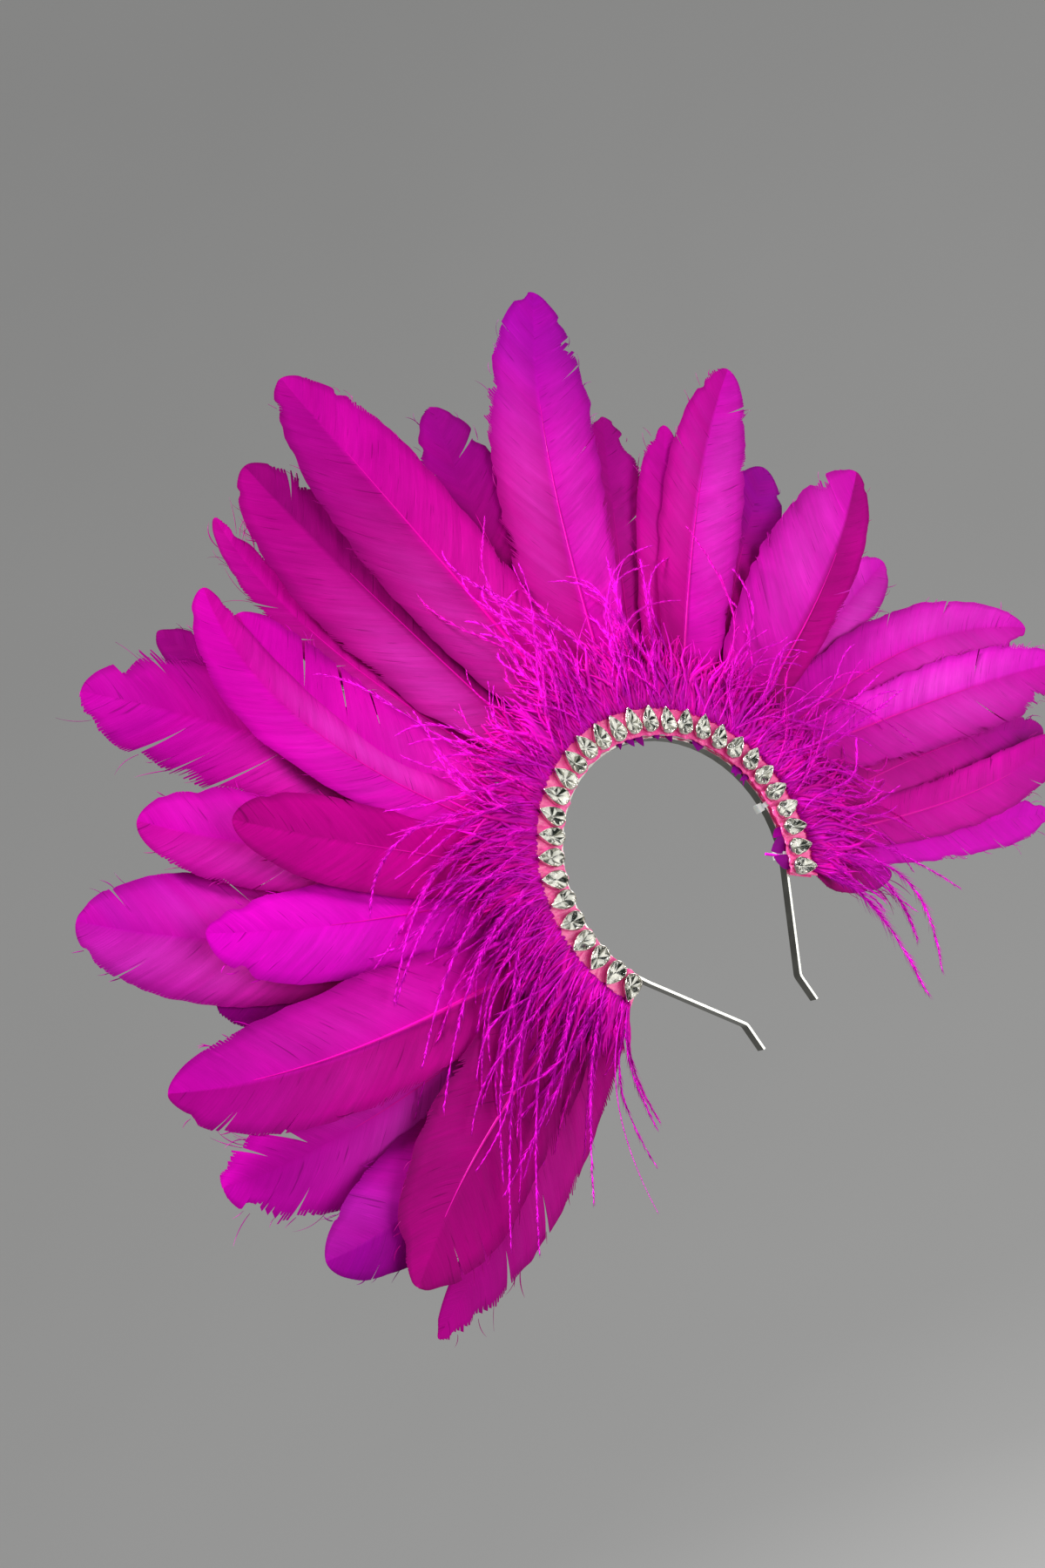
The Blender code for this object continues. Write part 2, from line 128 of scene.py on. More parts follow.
Feather = namedtuple(
    "Feather",
    "piece station splay turn length left right full_left full_right layer"
    " tone_left tone_right purple pale_left pale_right pale_at bow curl shaft fray",
)

# One feather a row, in order round the arch. station to layer are the solids' own: where the quill is
# rooted, its first heading and how far it turns on, length and vane widths in mm, where each vane is
# fullest in percent, and its layer. The two tones are each vane's dye and painted light and shade, -1
# dark to 1 bright; purple its tip; the next three a painted highlight on each vane and where along the
# feather it is strongest, in percent; bow how far the edges fall back in mm; curl how far the tip
# comes forward in mm; shaft the quill's thickness; fray how ragged the edge is.
FEATHERS = [Feather(*row) for row in (
    ("rear_left", -121, 4, 2, 161, 22, 12, 52, 55, 2, -0.1, 0, 0.2, 0.1, 0.2, 55, 1.5, -2, 0.8, 0.6),
    ("feather_01", -115, 6, 31, 170, 20, 27, 75, 64, 1, -0.7, -0.2, 0.8, 0, 0.2, 95, 3.2, 3, 0.9, 0.3),
    ("feather_02", -109, 2, -21, 152, 29, 29, 66, 44, 0, -0.75, -0.55, 0, 0, 0, 70, -2, 4, 1.7, 0.3),
    ("feather_03", -100, 3, 22, 179, 28, 20, 70, 74, 2, 0.5, 0.4, 0.3, 0.8, 0.7, 45, 2, -3, 0.9, 0.8),
    ("feather_04", -93, 6, 24, 184, 25, 28, 66, 52, 0.5, -0.45, 0.35, 0.3, 0.1, 0.2, 60, -1.8, 3, 1.8, 0.3),
    ("rear_left", -85, 8, 12, 150, 16, 14, 70, 70, 4, -0.5, -0.35, 0.6, 0, 0, 55, 1.5, -2, 0.7, 0.5),
    ("feather_05", -78, 8, 24, 200, 28, 28, 68, 76, 3, -0.1, 0.2, 0.6, 0.6, 0.3, 70, 2.4, -4, 0.8, 0.25),
    ("feather_06", -72, 0, 11, 150, 24, 19, 70, 62, 1, 0.9, 0.8, 0.1, 0.1, 0.1, 60, 2.2, 2, 0.8, 0.2),
    ("feather_07", -67, 14, 2, 139, 21, 20, 56, 72, 0, 0, -0.35, 0, 0, 0, 55, 2.2, 4, 0.7, 0.1),
    ("rear_left", -62, 2, 14, 174, 20, 24, 72, 78, 2, 0.1, 0.4, 0.2, 0.5, 0.3, 60, 1.8, -3, 0.7, 0.3),
    ("feather_08", -57, 17, 50, 192, 19, 15, 68, 54, 0.45, 0.45, 0.2, 0, 0.15, 0.6, 45, 2.6, 5, 0.7, 0.2),
    ("feather_09", -52, 14, 40, 168, 18, 26, 70, 62, 1, 0, 0.35, 0.1, 0.3, 0.2, 35, 2.2, 3, 0.8, 0.4),
    ("feather_10", -48, 6, -9, 205, 29, 27, 68, 76, 3, 0.15, -0.15, 0.45, 0.6, 0.4, 30, 2, -4, 0.8, 0.7),
    ("rear_left", -43, 4, 12, 186, 16, 14, 75, 75, 4, -1, -1, 0.3, 0, 0, 30, 1.5, -3, 0.7, 0.5),
    ("rear_left", -34, 3, 33, 197, 13, 12, 58, 62, 2, -0.55, -0.2, 0.2, 0.25, 0.1, 35, 1.5, -3, 0.8, 0.9),
    ("feather_11", -25, 8, 3, 199, 30, 24, 60, 74, 1, -0.45, -0.95, 0.15, 0.5, 0.1, 35, 2.4, 3, 0.8, 0.4),
    ("rear_top", -15, 2, 6, 172, 20, 20, 62, 62, 2, -0.5, -0.35, 0.3, 0, 0, 55, 1.5, -2, 0.7, 0.3),
    ("feather_12", -6, -3, -4, 222, 36, 30, 48, 64, 0, -0.55, 0.05, 0.3, 0.35, 0.1, 35, -2.2, 5, 1.5, 0.3),
    ("rear_top", -1, 4, 15, 186, 18, 27, 72, 76, 1, -1, -0.95, 0.4, 0, 0, 55, 1.8, -2, 0.8, 0.5),
    ("feather_13", 8, 12, 16, 248, 33, 32, 44, 68, 0, -0.35, 0.45, 0.95, 0.45, 0.35, 50, 2.6, 5, 1, 0.6),
    ("rear_top", 15, 6, 6, 170, 20, 20, 62, 62, 3, -0.4, -0.25, 0.3, 0, 0, 55, 1.5, -2, 0.7, 0.3),
    ("rear_top", 22, 8, 4, 180, 16, 22, 70, 76, 2, -0.1, 0.1, 0.3, 0.15, 0.15, 55, 1.6, -3, 0.8, 0.6),
    ("rear_top", 30, 9, 0, 178, 16, 16, 68, 68, 1, -0.2, 0.1, 0.3, 0.1, 0.1, 55, 1.6, 2, 0.8, 0.5),
    ("feather_14", 37, 5, 12, 229, 21, 30, 64, 56, 0, -0.25, 0.5, 0.3, 0.2, 0.6, 60, 2.4, 6, 0.9, 0.4),
    ("rear_top", 44, 4, 4, 172, 20, 20, 62, 62, 2, -0.3, -0.15, 0.3, 0, 0, 55, 1.5, -2, 0.7, 0.3),
    ("rear_top", 50, 0, 8, 184, 20, 22, 70, 76, 1, -0.25, 0.05, 0.9, 0, 0, 55, 1.8, -3, 0.8, 0.4),
    ("rear_top", 56, 4, 6, 160, 18, 18, 62, 62, 3, -0.4, -0.25, 0.3, 0, 0, 55, 1.5, -2, 0.7, 0.3),
    ("feather_15", 62, 8, -22, 215, 43, 16, 50, 76, 0, 0.5, -0.6, 0.1, 0.6, 0, 62, -2, 5, 1, 0.3),
    ("rear_right", 67, 6, 4, 188, 20, 18, 76, 74, 2, 0.8, 0.5, 0.2, 0.8, 0.8, 70, 1.8, -3, 0.8, 0.5),
    ("feather_16", 72, 12, 32, 252, 25, 24, 56, 66, 1, 0.6, 0.3, 0.2, 0.6, 0.5, 72, 2.4, 3, 0.9, 0.5),
    ("feather_17", 78, 19, 7, 256, 22, 27, 70, 66, 0, 0.8, 0.3, 0.2, 1, 0.6, 60, 2.4, 5, 0.9, 0.7),
    ("rear_right", 85, 10, 8, 165, 20, 20, 62, 62, 2, -0.3, -0.15, 0.3, 0, 0, 55, 1.5, -2, 0.7, 0.4),
    ("rear_right", 93, 4, 8, 160, 18, 18, 62, 62, 3, -0.4, -0.25, 0.3, 0, 0, 55, 1.5, -2, 0.7, 0.4),
    ("rear_right", 101, -7, 19, 222, 18, 24, 64, 66, 1, -0.15, 0.1, 0.5, 0.2, 0.1, 45, 2, -3, 0.8, 0.7),
    ("feather_18", 109, -2, -23, 229, 15, 18, 60, 66, 0, 0.1, 0.2, 0.2, 0.1, 0.1, 55, 2.2, 5, 1.1, 0.5),
    ("rear_right", 115, -7, 3, 202, 15, 17, 60, 60, 1, 1, 0.9, 0.1, 0, 0, 55, 1.6, -3, 0.7, 0.6),
    ("rear_right", 120, -2, 1, 62, 12, 12, 50, 50, 2, -0.4, -0.25, 0.5, 0, 0, 55, 1, 0, 0.6, 0.8),
)]

REAR_TAPES = {"rear_left": (-122.5, -31.0), "rear_top": (-17.0, 58.0), "rear_right": (65.5, 122.5)}

# Places where the barbs have parted, by the feather's station and its vane, -1 left and 1 right: where
# the parting meets the edge as a share of the length, how far in it starts, its width at the edge in
# mm and how many barbs lean away from it.
SPLITS = {
    (-48, -1): ((0.86, 0.25, 4, 16), (0.7, 0.2, 2.6, 12), (0.79, 0.55, 1.8, 6)),
    (-48, 1): ((0.88, 0.7, 1.6, 8),),
    (-52, 1): ((0.84, 0.12, 2.4, 14), (0.72, 0.1, 2.2, 12), (0.6, 0.35, 1.6, 8)),
    (-34, -1): ((0.78, 0.2, 3, 9), (0.68, 0.15, 3.4, 8), (0.59, 0.1, 3.4, 8), (0.5, 0.15, 3, 8),
        (0.41, 0.2, 2.4, 7)),
    (-78, 1): ((0.95, 0.6, 1.4, 6), (0.72, 0.55, 1.2, 10)),
    (-78, -1): ((0.9, 0.6, 1.4, 6),),
    (-85, 1): ((0.85, 0.2, 4, 9), (0.72, 0.2, 3.6, 8)),
    (-100, 1): ((0.86, 0.25, 7, 16), (0.74, 0.3, 3, 10), (0.93, 0.4, 3, 8)),
    (-100, -1): ((0.88, 0.6, 2, 8),),
    (-109, -1): ((0.93, 0.55, 2.2, 10), (0.86, 0.7, 1.4, 6)),
    (-121, -1): ((0.8, 0.4, 2.6, 9), (0.64, 0.45, 2.2, 9)),
    (-93, -1): ((0.9, 0.65, 1.8, 8), (0.78, 0.7, 1.4, 7)),
    (-25, 1): ((0.93, 0.35, 2.6, 9), (0.62, 0.5, 1.6, 8)),
    (-1, 1): ((0.9, 0.25, 4.5, 9),),
    (-1, -1): ((0.82, 0.5, 1.8, 7),),
    (8, -1): ((0.9, 0.55, 1.8, 7),),
    (8, 1): ((0.84, 0.6, 1.8, 7), (0.66, 0.6, 1.4, 8)),
    (22, -1): ((0.78, 0.4, 3, 8),),
    (22, 1): ((0.7, 0.4, 3, 8),),
    (37, 1): ((0.92, 0.4, 3, 8),),
    (37, -1): ((0.74, 0.5, 1.6, 8),),
    (62, -1): ((0.5, 0.45, 3.4, 12), (0.4, 0.3, 3, 10)),
    (62, 1): ((0.62, 0.35, 1.8, 8),),
    (67, -1): ((0.8, 0.4, 2.6, 9),),
    (72, -1): ((0.78, 0.6, 3, 9), (0.6, 0.65, 2.2, 9)),
    (72, 1): ((0.72, 0.5, 2.2, 9),),
    (78, 1): ((0.74, 0.12, 6, 12), (0.88, 0.3, 3, 8), (0.6, 0.45, 2, 9)),
    (78, -1): ((0.76, 0.2, 3.4, 10),),
    (101, -1): ((0.62, 0.3, 3.6, 10), (0.76, 0.35, 3, 8), (0.5, 0.4, 2.6, 8)),
    (109, 1): ((0.82, 0.45, 2.4, 8),),
    (109, -1): ((0.7, 0.5, 2, 8),),
    (115, 1): ((0.74, 0.4, 3, 9), (0.6, 0.5, 2.2, 8)),
    (120, 1): ((0.7, 0.2, 3, 6),),
}

Fringe = namedtuple("Fringe", "piece first last length droop thick curl")

# Stretches of ostrich fringe: stations of the ends, the strands' length in mm, how they hang, how many
# there are beside the numbers below, and how far they curl.
FRINGES = [
    Fringe("left", -122.5, -56.0, 72, 1.5, 1.4, 1.7),
    Fringe("top", -56.0, 42.0, 66, 0.3, 1.0, 0.65),
    Fringe("right", 42.0, 122.5, 66, 0.4, 1.0, 0.8),
]

Growth = namedtuple("Growth", "per_degree tuft length sections barbules fluff lift stem bright")

# What grows from the fringe's edge, by kind: strands for each degree of the arch, how many make a
# tuft, their length as a share of the stretch's own, points along one, its barbules and their length
# in mm, how far forward it leans, the stem's radius in mm and how bright it is, from 0 to 1, as the
# share of the lit copy of the ostrich dye over its painted shaded copy.
GROWTHS = [
    Growth(0.50, 3, 1.35, 24, 190, 4.6, 0.16, 0.50, 1.0),
    Growth(0.65, 3, 0.85, 14, 80, 3.2, 0.20, 0.36, 0.8),
]
LOCKS_PER_DEGREE = 6.0
LOCK_LENGTH = 36.0
LOCK_WIDTH = 4.0
LOCK_THICKNESS = 0.22
LOCK_TWIST = 0.3
STRAND_SWING = 0.6
FRINGE_ROOT_RADII = (75.5, 78.5)
FRINGE_ROOT_DEPTHS = (-5.5, -4.9)
HANG = np.array([-0.44, 0.26, -0.86])  # the way loose strands fall
END_DEG = 114.0  # past this station the strands are short
END_SHARE = 0.68
FRINGE_SPREAD_DEG = (5, 21)  # how far the barbules stand off their strand

# Single long strands of each stretch: root station, the point they bend round and their tip, across
# and up from the arch's centre in mm, and the length of their barbules in mm.
LONG_STRANDS = {
    "top": ((-46, -124, 94, -149, 51, 4.6), (-53, -106, 81, -160, 14, 5.2), (20, 40, 111, 56, 146, 5),
        (27, 54, 105, 74, 138, 4.6)),
    "left": ((-60, -108, 62, -159, 14, 5), (-67, -109, 44, -163, -14, 5), (-72, -112, 31, -165, -34, 5),
        (-76, -105, 13, -124, -33, 4.6), (-88, -120, 4, -158, -72, 4.6), (-92, -118, -4, -170, -96, 5),
        (-98, -113, -16, -160, -104, 5), (-104, -98, -31, -149, -75, 5.2), (-108, -96, -44, -161, -76, 4.6),
        (-112, -100, -48, -128, -102, 5), (-121, -105, -63, -104, -122, 1)),
    "right": ((121.5, 91, -58, 88, -124, 9), (117, 136, -60, 104, -120, 7), (113, 110, -56, 101, -99, 8),
        (108, 103, -33, 145, -93, 6), (86, 118, 8, 185, 12, 5), (82, 121, 17, 178, 26, 4.6)),
}
BEND_Y = -9.0
STRAND_TIP_Y = -3.0
LONG_SPREAD_DEG = (8, 30)
LONG_BARBULES = 300
LONG_STEM = 0.45
LONG_SECTIONS = 16

# Trimmed barb ends that stick out from between the ribbons, inside the arch, by their rear row: their
# station, the radius their point reaches, their width in mm and their lean in degrees.
TRIMMINGS = {
    "rear_top": ((5, 59.5, 4.2, -2), (9, 58.5, 6, 2), (14, 57.6, 8, 2), (24, 60.2, 5.5, 1),
        (30, 59.3, 5, 2), (44, 58.4, 8, 3), (48, 58.6, 7, -2)),
    "rear_right": ((67, 57.5, 5, 3), (70, 58, 8.5, -3), (72, 57, 3, 4), (75, 57.8, 4.5, -2),
        (103, 57, 8, 3), (109, 53.6, 13, 3.5), (119.5, 54.4, 11, -3.5)),
}
TRIMMING_ROOT = 65.0
TRIMMING_Y = -3.45
QUILL_STUB = ((115.6, 113.8), (60.6, 50.2))  # stations and radii of the root and the end of a bare quill
QUILL_STUB_Y = -2.75
QUILL_STUB_HALF = (0.8, 0.75)

# Painted reflections that the mirrored facets behind a stone show, and how many of them show each.
FOIL_PAINTED_REFLECTIONS = np.array(((0.015, 0.02, 0.015), (0.30, 0.30, 0.24), (1.0, 0.99, 0.91)))
FOIL_REFLECTION_SHARES = (0.33, 0.15, 0.52)

# Rings of points on a stone's glass and on its foil: how many, their share of the outline, their height
# off the stone's back in mm, and how far they are turned, in steps.
GLASS_RINGS = (
    (16, 1.0, 2.75, 0), (8, 0.80, 3.75, 0.5), (8, 0.56, 4.45, 0),
    (16, 1.0, 2.5, 0), (8, 0.66, 1.6, 0.5), (8, 0.16, 0.75, 0),
)
FOIL_RINGS = ((16, 1.02, 2.42, 0), (8, 0.68, 1.5, 0.5), (8, 0.17, 0.62, 0))

# Rings of the claw cup: how far inside the outline, how far the claws lean in, height, and how much
# the scallops and the claws raise it, in mm. Then where the claws stand round it, and how wide.
CUP_RINGS = (
    (0.5, 0, 0, 0, 0),
    (0.05, 0, 0.35, 0, 0),
    (0, 0, 1.6, 0, 0),
    (0.05, 0.1, 2.35, 1, 0.25),
    (0.12, 0.75, 2.6, 1, 0.75),
    (0.22, 1.3, 2.62, 1, 1),
    (0.42, 1.3, 2.5, 1, 0.85),
    (0.45, 0.55, 2.35, 0.6, 0.55),
    (0.45, 0, 1.4, 0, 0),
    (0.6, 0, 0.4, 0, 0),
)
CLAWS_AT = (0.0, 1.75, 2.75, 3.53, 4.53)
CLAW_WIDTH = 0.17
CUP_STEPS = 60
SCALLOP_HEIGHT = 0.22
SCALLOP_TURNS = 7

RIBBON_SEED = 100
FEATHER_SEED = 500
FRINGE_SEED = 900
TRIMMING_SEED = 900

CAMERA_SPOT = (-0.3549, -0.5156, -0.0216)
CAMERA_TURN_DEG = (-30.5, -2.7, -30.7)  # yaw, pitch and roll
CAMERA_SENSOR_MM = 36.0
CAMERA_LENS_MM = 30.0
CAMERA_NEAR = 0.01
CROWN_MIDDLE = (0.03, 0.0, 0.0)
STAGE_FLOOR = -1.6
STAGE_RADIUS = 6.0
STAGE_HEIGHT = 8.0
STAGE_SIDES = 96

# Lights by name: metres to the right of, above and ahead of the camera, size in metres, and watts.
LIGHTS = (
    ("key_light", -1.0, 1.1, 0.15, 0.35, 42.0),
    ("fill_light", 1.2, 0.1, -0.1, 1.2, 11.0),
    ("back_light", 0.6, 0.6, 2.2, 1.2, 12.0),
)
SKY_STRENGTH = 0.30


def on_arch(station_deg, radius):
    """Points across X and Z at a station and a radius: radius times (sine, cosine) of the station."""
    station = np.radians(station_deg)
    return np.stack([radius * np.sin(station), radius * np.cos(station)], axis=-1)


def at_depth(flat, depth):
    """Points of given places across X and Z, put at a depth in Y."""
    return np.stack([flat[..., 0], np.broadcast_to(depth, flat.shape[:-1]), flat[..., 1]], axis=-1)


def smooth_step(value):
    """3 v^2 - 2 v^3 of the value held between 0 and 1."""
    value = np.clip(value, 0.0, 1.0)
    return value * value * (3.0 - 2.0 * value)


def unit(vectors):
    """Each vector divided by its length."""
    return vectors / np.maximum(np.linalg.norm(vectors, axis=-1, keepdims=True), 1e-9)


def mix(first, second, share):
    """first where share is 0, second where it is 1."""
    share = np.clip(np.asarray(share, float), 0.0, 1.0)[..., None]
    return np.asarray(first) * (1 - share) + np.asarray(second) * share


def running_length(line):
    """How far each point of a line lies along it: the sum of the steps before it."""
    return np.concatenate([[0], np.cumsum(np.linalg.norm(np.diff(line, axis=0), axis=1))])


def linked(name, data):
    """A new object of the scene with the given data."""
    made = bpy.data.objects.new(name, data)
    bpy.context.scene.collection.objects.link(made)
    return made


class Mesh:
    """Gathers arrays of points and faces, with a map, a colour and a finish number, for one piece."""

    def __init__(self):
        self.points, self.maps, self.tints = [], [], []
        self.faces, self.finishes = {4: [], 3: []}, {4: [], 3: []}
        self.count = 0

    def add(self, points, quads=None, tris=None, maps=None, tint=WHITE, finish=0):
        """Adds points, with faces counted from the first of them, and one colour or one for each point."""
        points = np.asarray(points, float).reshape(-1, 3)
        number = len(points)
        self.points.append(points)
        self.maps.append(np.zeros((number, 2)) if maps is None else np.reshape(maps, (number, 2)))
        self.tints.append(np.broadcast_to(np.reshape(tint, (-1, 3)), (number, 3)))
        for corners, faces in ((4, quads), (3, tris)):
            if faces is not None:
                faces = np.reshape(faces, (-1, corners)) + self.count
                self.faces[corners].append(faces)
                self.finishes[corners].append(np.full(len(faces), finish))
        self.count += number

    def build(self, name, finishes, sharp_deg=None):
        """The piece's object at the origin, its points moved from the arch's centre into metres."""
        points = (np.concatenate(self.points) - (0.0, 0.0, ARCH_TOP)) * MM
        tints = np.column_stack([np.concatenate(self.tints), np.ones(len(points))])
        quads = np.concatenate(self.faces[4] or [np.zeros((0, 4), int)])
        tris = np.concatenate(self.faces[3] or [np.zeros((0, 3), int)])
        loops = np.concatenate([quads.ravel(), tris.ravel()]).astype(np.int32)
        starts = np.concatenate([np.arange(len(quads)) * 4, quads.size + np.arange(len(tris)) * 3])
        slots = np.concatenate(self.finishes[4] + self.finishes[3])
        data = bpy.data.meshes.new(name)
        data.vertices.add(len(points))
        data.vertices.foreach_set("co", points.astype(np.float32).ravel())
        data.loops.add(len(loops))
        data.loops.foreach_set("vertex_index", loops)
        data.polygons.add(len(starts))
        data.polygons.foreach_set("loop_start", starts.astype(np.int32))
        for finish in finishes:
            data.materials.append(finish)
        data.polygons.foreach_set("material_index", slots.astype(np.int32))
        data.update(calc_edges=True)
        plan = data.uv_layers.new(name="Plan")
        plan.data.foreach_set("uv", np.concatenate(self.maps)[loops].astype(np.float32).ravel())
        tint = data.color_attributes.new("Tint", "FLOAT_COLOR", "POINT")
        tint.data.foreach_set("color", tints.astype(np.float32).ravel())
        if sharp_deg is not None:
            data.shade_smooth()
            data.set_sharp_from_angle(angle=math.radians(sharp_deg))
        piece = linked(name, data)
        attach(piece, "root")
        return piece


def ring_quads(rows, columns):
    """Faces between rings of points listed one after another, each ring closed on itself."""
    corner = np.arange((rows - 1) * columns).reshape(-1, columns)
    beside = np.roll(corner, -1, axis=1)
    return np.stack([corner + columns, beside + columns, beside, corner], axis=-1).reshape(-1, 4)


def frame_along(line):
    """Tangents of a line of points, and two directions across it, one of them as near to Y as can be."""
    tangent = unit(np.gradient(line, axis=-2))
    side = unit(np.cross(tangent, Y_AXIS))
    return tangent, side, np.cross(side, tangent)


def add_loft(mesh, rings, ends, maps=None, tint=WHITE, finish=0):
    """A closed body of rings of points, each joined to the next, with a fan from the first and the last
    ring to their end points. tint is one colour, or one for each ring."""
    rows, columns = rings.shape[:2]
    around = np.arange(columns)
    after = (around + 1) % columns
    low, last = rows * columns, (rows - 1) * columns
    fans = (np.full(columns, low), around, after), (np.full(columns, low + 1), last + after, last + around)
    if maps is not None:
        maps = np.vstack([maps.reshape(-1, 2), maps[0, :1], maps[-1, :1]])
    if np.ndim(tint) == 2:
        tint = np.vstack([np.repeat(tint, columns, axis=0), tint[:1], tint[-1:]])
    points = np.vstack([rings.reshape(-1, 3), ends])
    mesh.add(points, ring_quads(rows, columns), np.array(fans).transpose(0, 2, 1), maps, tint, finish)


def add_prisms(mesh, corners, tint):
    """Closed three- or four-sided bodies, many at once: corners lists, for each, its sections' points."""
    number, sections, sides, _ = corners.shape
    block = sections * sides
    offset = np.arange(number)[:, None, None] * block
    faces = ring_quads(sections, sides) + offset
    caps = np.array([np.arange(sides), block - 1 - np.arange(sides)]) + offset
    if sides == 4:
        faces, caps = np.concatenate([faces, caps], axis=1), None
    mesh.add(corners, faces, caps, None, tint)


def add_tube(mesh, line, radius, sides, tint, finish):
    """A closed round tube: each ring is the line's point plus radius times (cosine, sine) across it."""
    _, side, normal = frame_along(line)
    turn = np.linspace(0, TURN, sides, endpoint=False)[:, None]
    ring = np.cos(turn) * side[:, None] + np.sin(turn) * normal[:, None]
    maps = np.broadcast_arrays(running_length(line)[:, None] * 0.1, turn.T / 6.3)
    rings = line[:, None] + ring * np.reshape(radius, (-1, 1, 1))
    add_loft(mesh, rings, line[[0, -1]], np.stack(maps, axis=-1), tint, finish)


def thick_sheet(points, quads, maps, tints, thickness):
    """A closed shell from an open sheet: doubles merged, a second skin behind it, rims along open edges.
    A face with two corners in one place becomes a triangle."""
    _, first, index = np.unique(
        np.round(points * MERGE_PER_MM).astype(np.int64), axis=0, return_index=True, return_inverse=True
    )
    points, maps, tints = points[first], maps[first], tints[first]
    quads = index.reshape(-1)[quads]

    def whole(faces):
        """True for each face whose corners are all different points."""
        return (np.diff(np.sort(faces, axis=1), axis=1) > 0).all(axis=1)

    broken = quads[~whole(quads)]
    tris = np.concatenate([broken[:, [0, 1, 2]], broken[:, [0, 2, 3]]])
    quads, tris = quads[whole(quads)], tris[whole(tris)]
    normal = np.zeros_like(points)
    for faces in (quads, tris):
        corner = points[faces]
        flat = np.cross(corner[:, 2] - corner[:, 0], corner[:, -1] - corner[:, 1])
        for column in faces.T:
            np.add.at(normal, column, flat)
    count = len(points)
    back = points - unit(normal) * thickness
    edges = [np.stack([faces, np.roll(faces, -1, axis=1)], axis=-1) for faces in (quads, tris)]
    start, end = np.concatenate([pairs.reshape(-1, 2) for pairs in edges]).T
    rim = ~np.isin(start * count + end, end * count + start)
    start, end = start[rim], end[rim]
    rims = np.stack([end, start, start + count, end + count], axis=1)
    quads = np.concatenate([quads, quads[:, ::-1] + count, rims])
    tris = np.concatenate([tris, tris[:, ::-1] + count])
    return np.vstack([points, back]), quads, tris, np.vstack([maps, maps]), np.vstack([tints, tints])


# Feathers


def quill_line(feather, shares):
    """Points across X and Z, and the directions along and across the quill there: the heading is
    station + splay + turn times share squared."""
    fine = np.linspace(0, 1, QUILL_STEPS + 1)
    heading = np.radians(feather.station + feather.splay + feather.turn * fine**2)
    way = np.stack([np.sin(heading), np.cos(heading)], axis=1) * feather.length / QUILL_STEPS
    steps = np.vstack([np.zeros(2), (way[1:] + way[:-1]) / 2])
    line = on_arch(feather.station, FEATHER_START) + np.cumsum(steps, axis=0)
    flat = np.stack([np.interp(shares, fine, line[:, axis]) for axis in (0, 1)], axis=-1)
    heading = np.interp(shares, fine, heading)
    along = np.stack([np.sin(heading), np.cos(heading)], axis=-1)
    return flat, along, np.stack([along[..., 1], -along[..., 0]], axis=-1)


def vane_width(feather, side, shares):
    """A vane's width in mm along the quill. Past the bare quill it rises at once to a blunt shoulder, by
    1 - (1 - x)^6, then smoothly to its fullest, and ends in a round tip, (1 - y^2.2)^0.55."""
    full = (feather.full_left if side < 0 else feather.full_right) / 100
    widest = feather.left if side < 0 else feather.right
    rise = np.clip((shares - VANE_START) / (full - VANE_START), 0, 1)
    rise = VANE_SHOULDER * (1 - (1 - rise) ** SHOULDER_POWER) + (1 - VANE_SHOULDER) * smooth_step(rise)
    fall = np.clip((shares - full) / (1 - full), 0, 1)
    share = np.where(shares < full, rise, np.maximum(1 - fall**TIP_FALL, 0) ** TIP_ROUND)
    return QUILL_HALF_WIDTH * (1 - shares) + (widest - QUILL_HALF_WIDTH) * share


def feather_depth(feather, quill_y, flat, share, across):
    """Depth of a feather's surface: the dish and its layer, less curl times share cubed, plus bow times
    the square of the place across, from -1 to 1, and a slow wave along it."""
    radius = np.linalg.norm(flat, axis=-1)
    lean = math.tan(math.radians(DISH_LEAN_DEG)) * np.maximum(radius - DISH_START, 0)
    parted = smooth_step((radius - LAYER_FROM) / (LAYER_TO - LAYER_FROM))
    settle = smooth_step((share - 0.1) / 0.3)
    phase = feather.station * 0.7
    wave = 0.5 * np.sin(share * 9 + phase) * across + 0.35 * np.sin(share * 17 + 2 * phase) * across**2
    depth = quill_y + lean + feather.layer * LAYER_GAP * parted - feather.curl * np.clip(share, 0, 1) ** 3
    return depth + settle * (feather.bow * across**2 + wave)


def feather_tint(feather, share, across, palette, streaks):
    """Colour over a feather: deeper at the base as painted shade, each vane's own dye with painted light
    and shade, purple towards the tip, and a painted highlight about one place along it, in streaks
    that run along the barbs."""
    # Each vane's tone is its dye and also painted light and shade: towards deep where it lies in shade,
    # towards hot where lit.
    dye_and_light = np.where(across < 0, feather.tone_left, feather.tone_right)
    dye_and_light = dye_and_light * (0.7 + 0.3 * streaks) * smooth_step((share + 0.1) / 0.35)
    colour = mix(palette["magenta"], palette["deep"], np.clip(-dye_and_light, 0, 1))
    colour = mix(colour, palette["hot"], np.clip(dye_and_light, 0, 1))
    # Painted shade: the colour deepens towards the base, where the fringe and the feathers in front shade
    # it.
    colour = mix(colour, palette["deep"], 0.25 * (1 - smooth_step(share / 0.35)))
    purple = feather.purple * smooth_step((share - 0.45) / 0.5)
    colour = mix(colour, palette["purple"], purple * np.clip(0.4 + 0.6 * streaks, 0, 1))
    # Painted highlight: the pale bloom stands for sheen where the barbs catch the light.
    pale = np.where(across < 0, feather.pale_left, feather.pale_right)
    along = np.exp(-(((share - feather.pale_at / 100) / 0.26) ** 2))
    beside = np.exp(-(((np.abs(across) - 0.40) / 0.42) ** 2))
    return mix(colour, palette["pale"], 0.75 * pale * along * beside * streaks)


def slow_noise(random, count, spread):
    """Random numbers of unit spread along a row, each the weighted mean of its neighbours."""
    weight = np.hanning(2 * spread + 3)[1:-1]
    weight = weight / np.sqrt((weight**2).sum())
    return np.convolve(random.normal(0, 1, count + len(weight)), weight, mode="same")[:count]


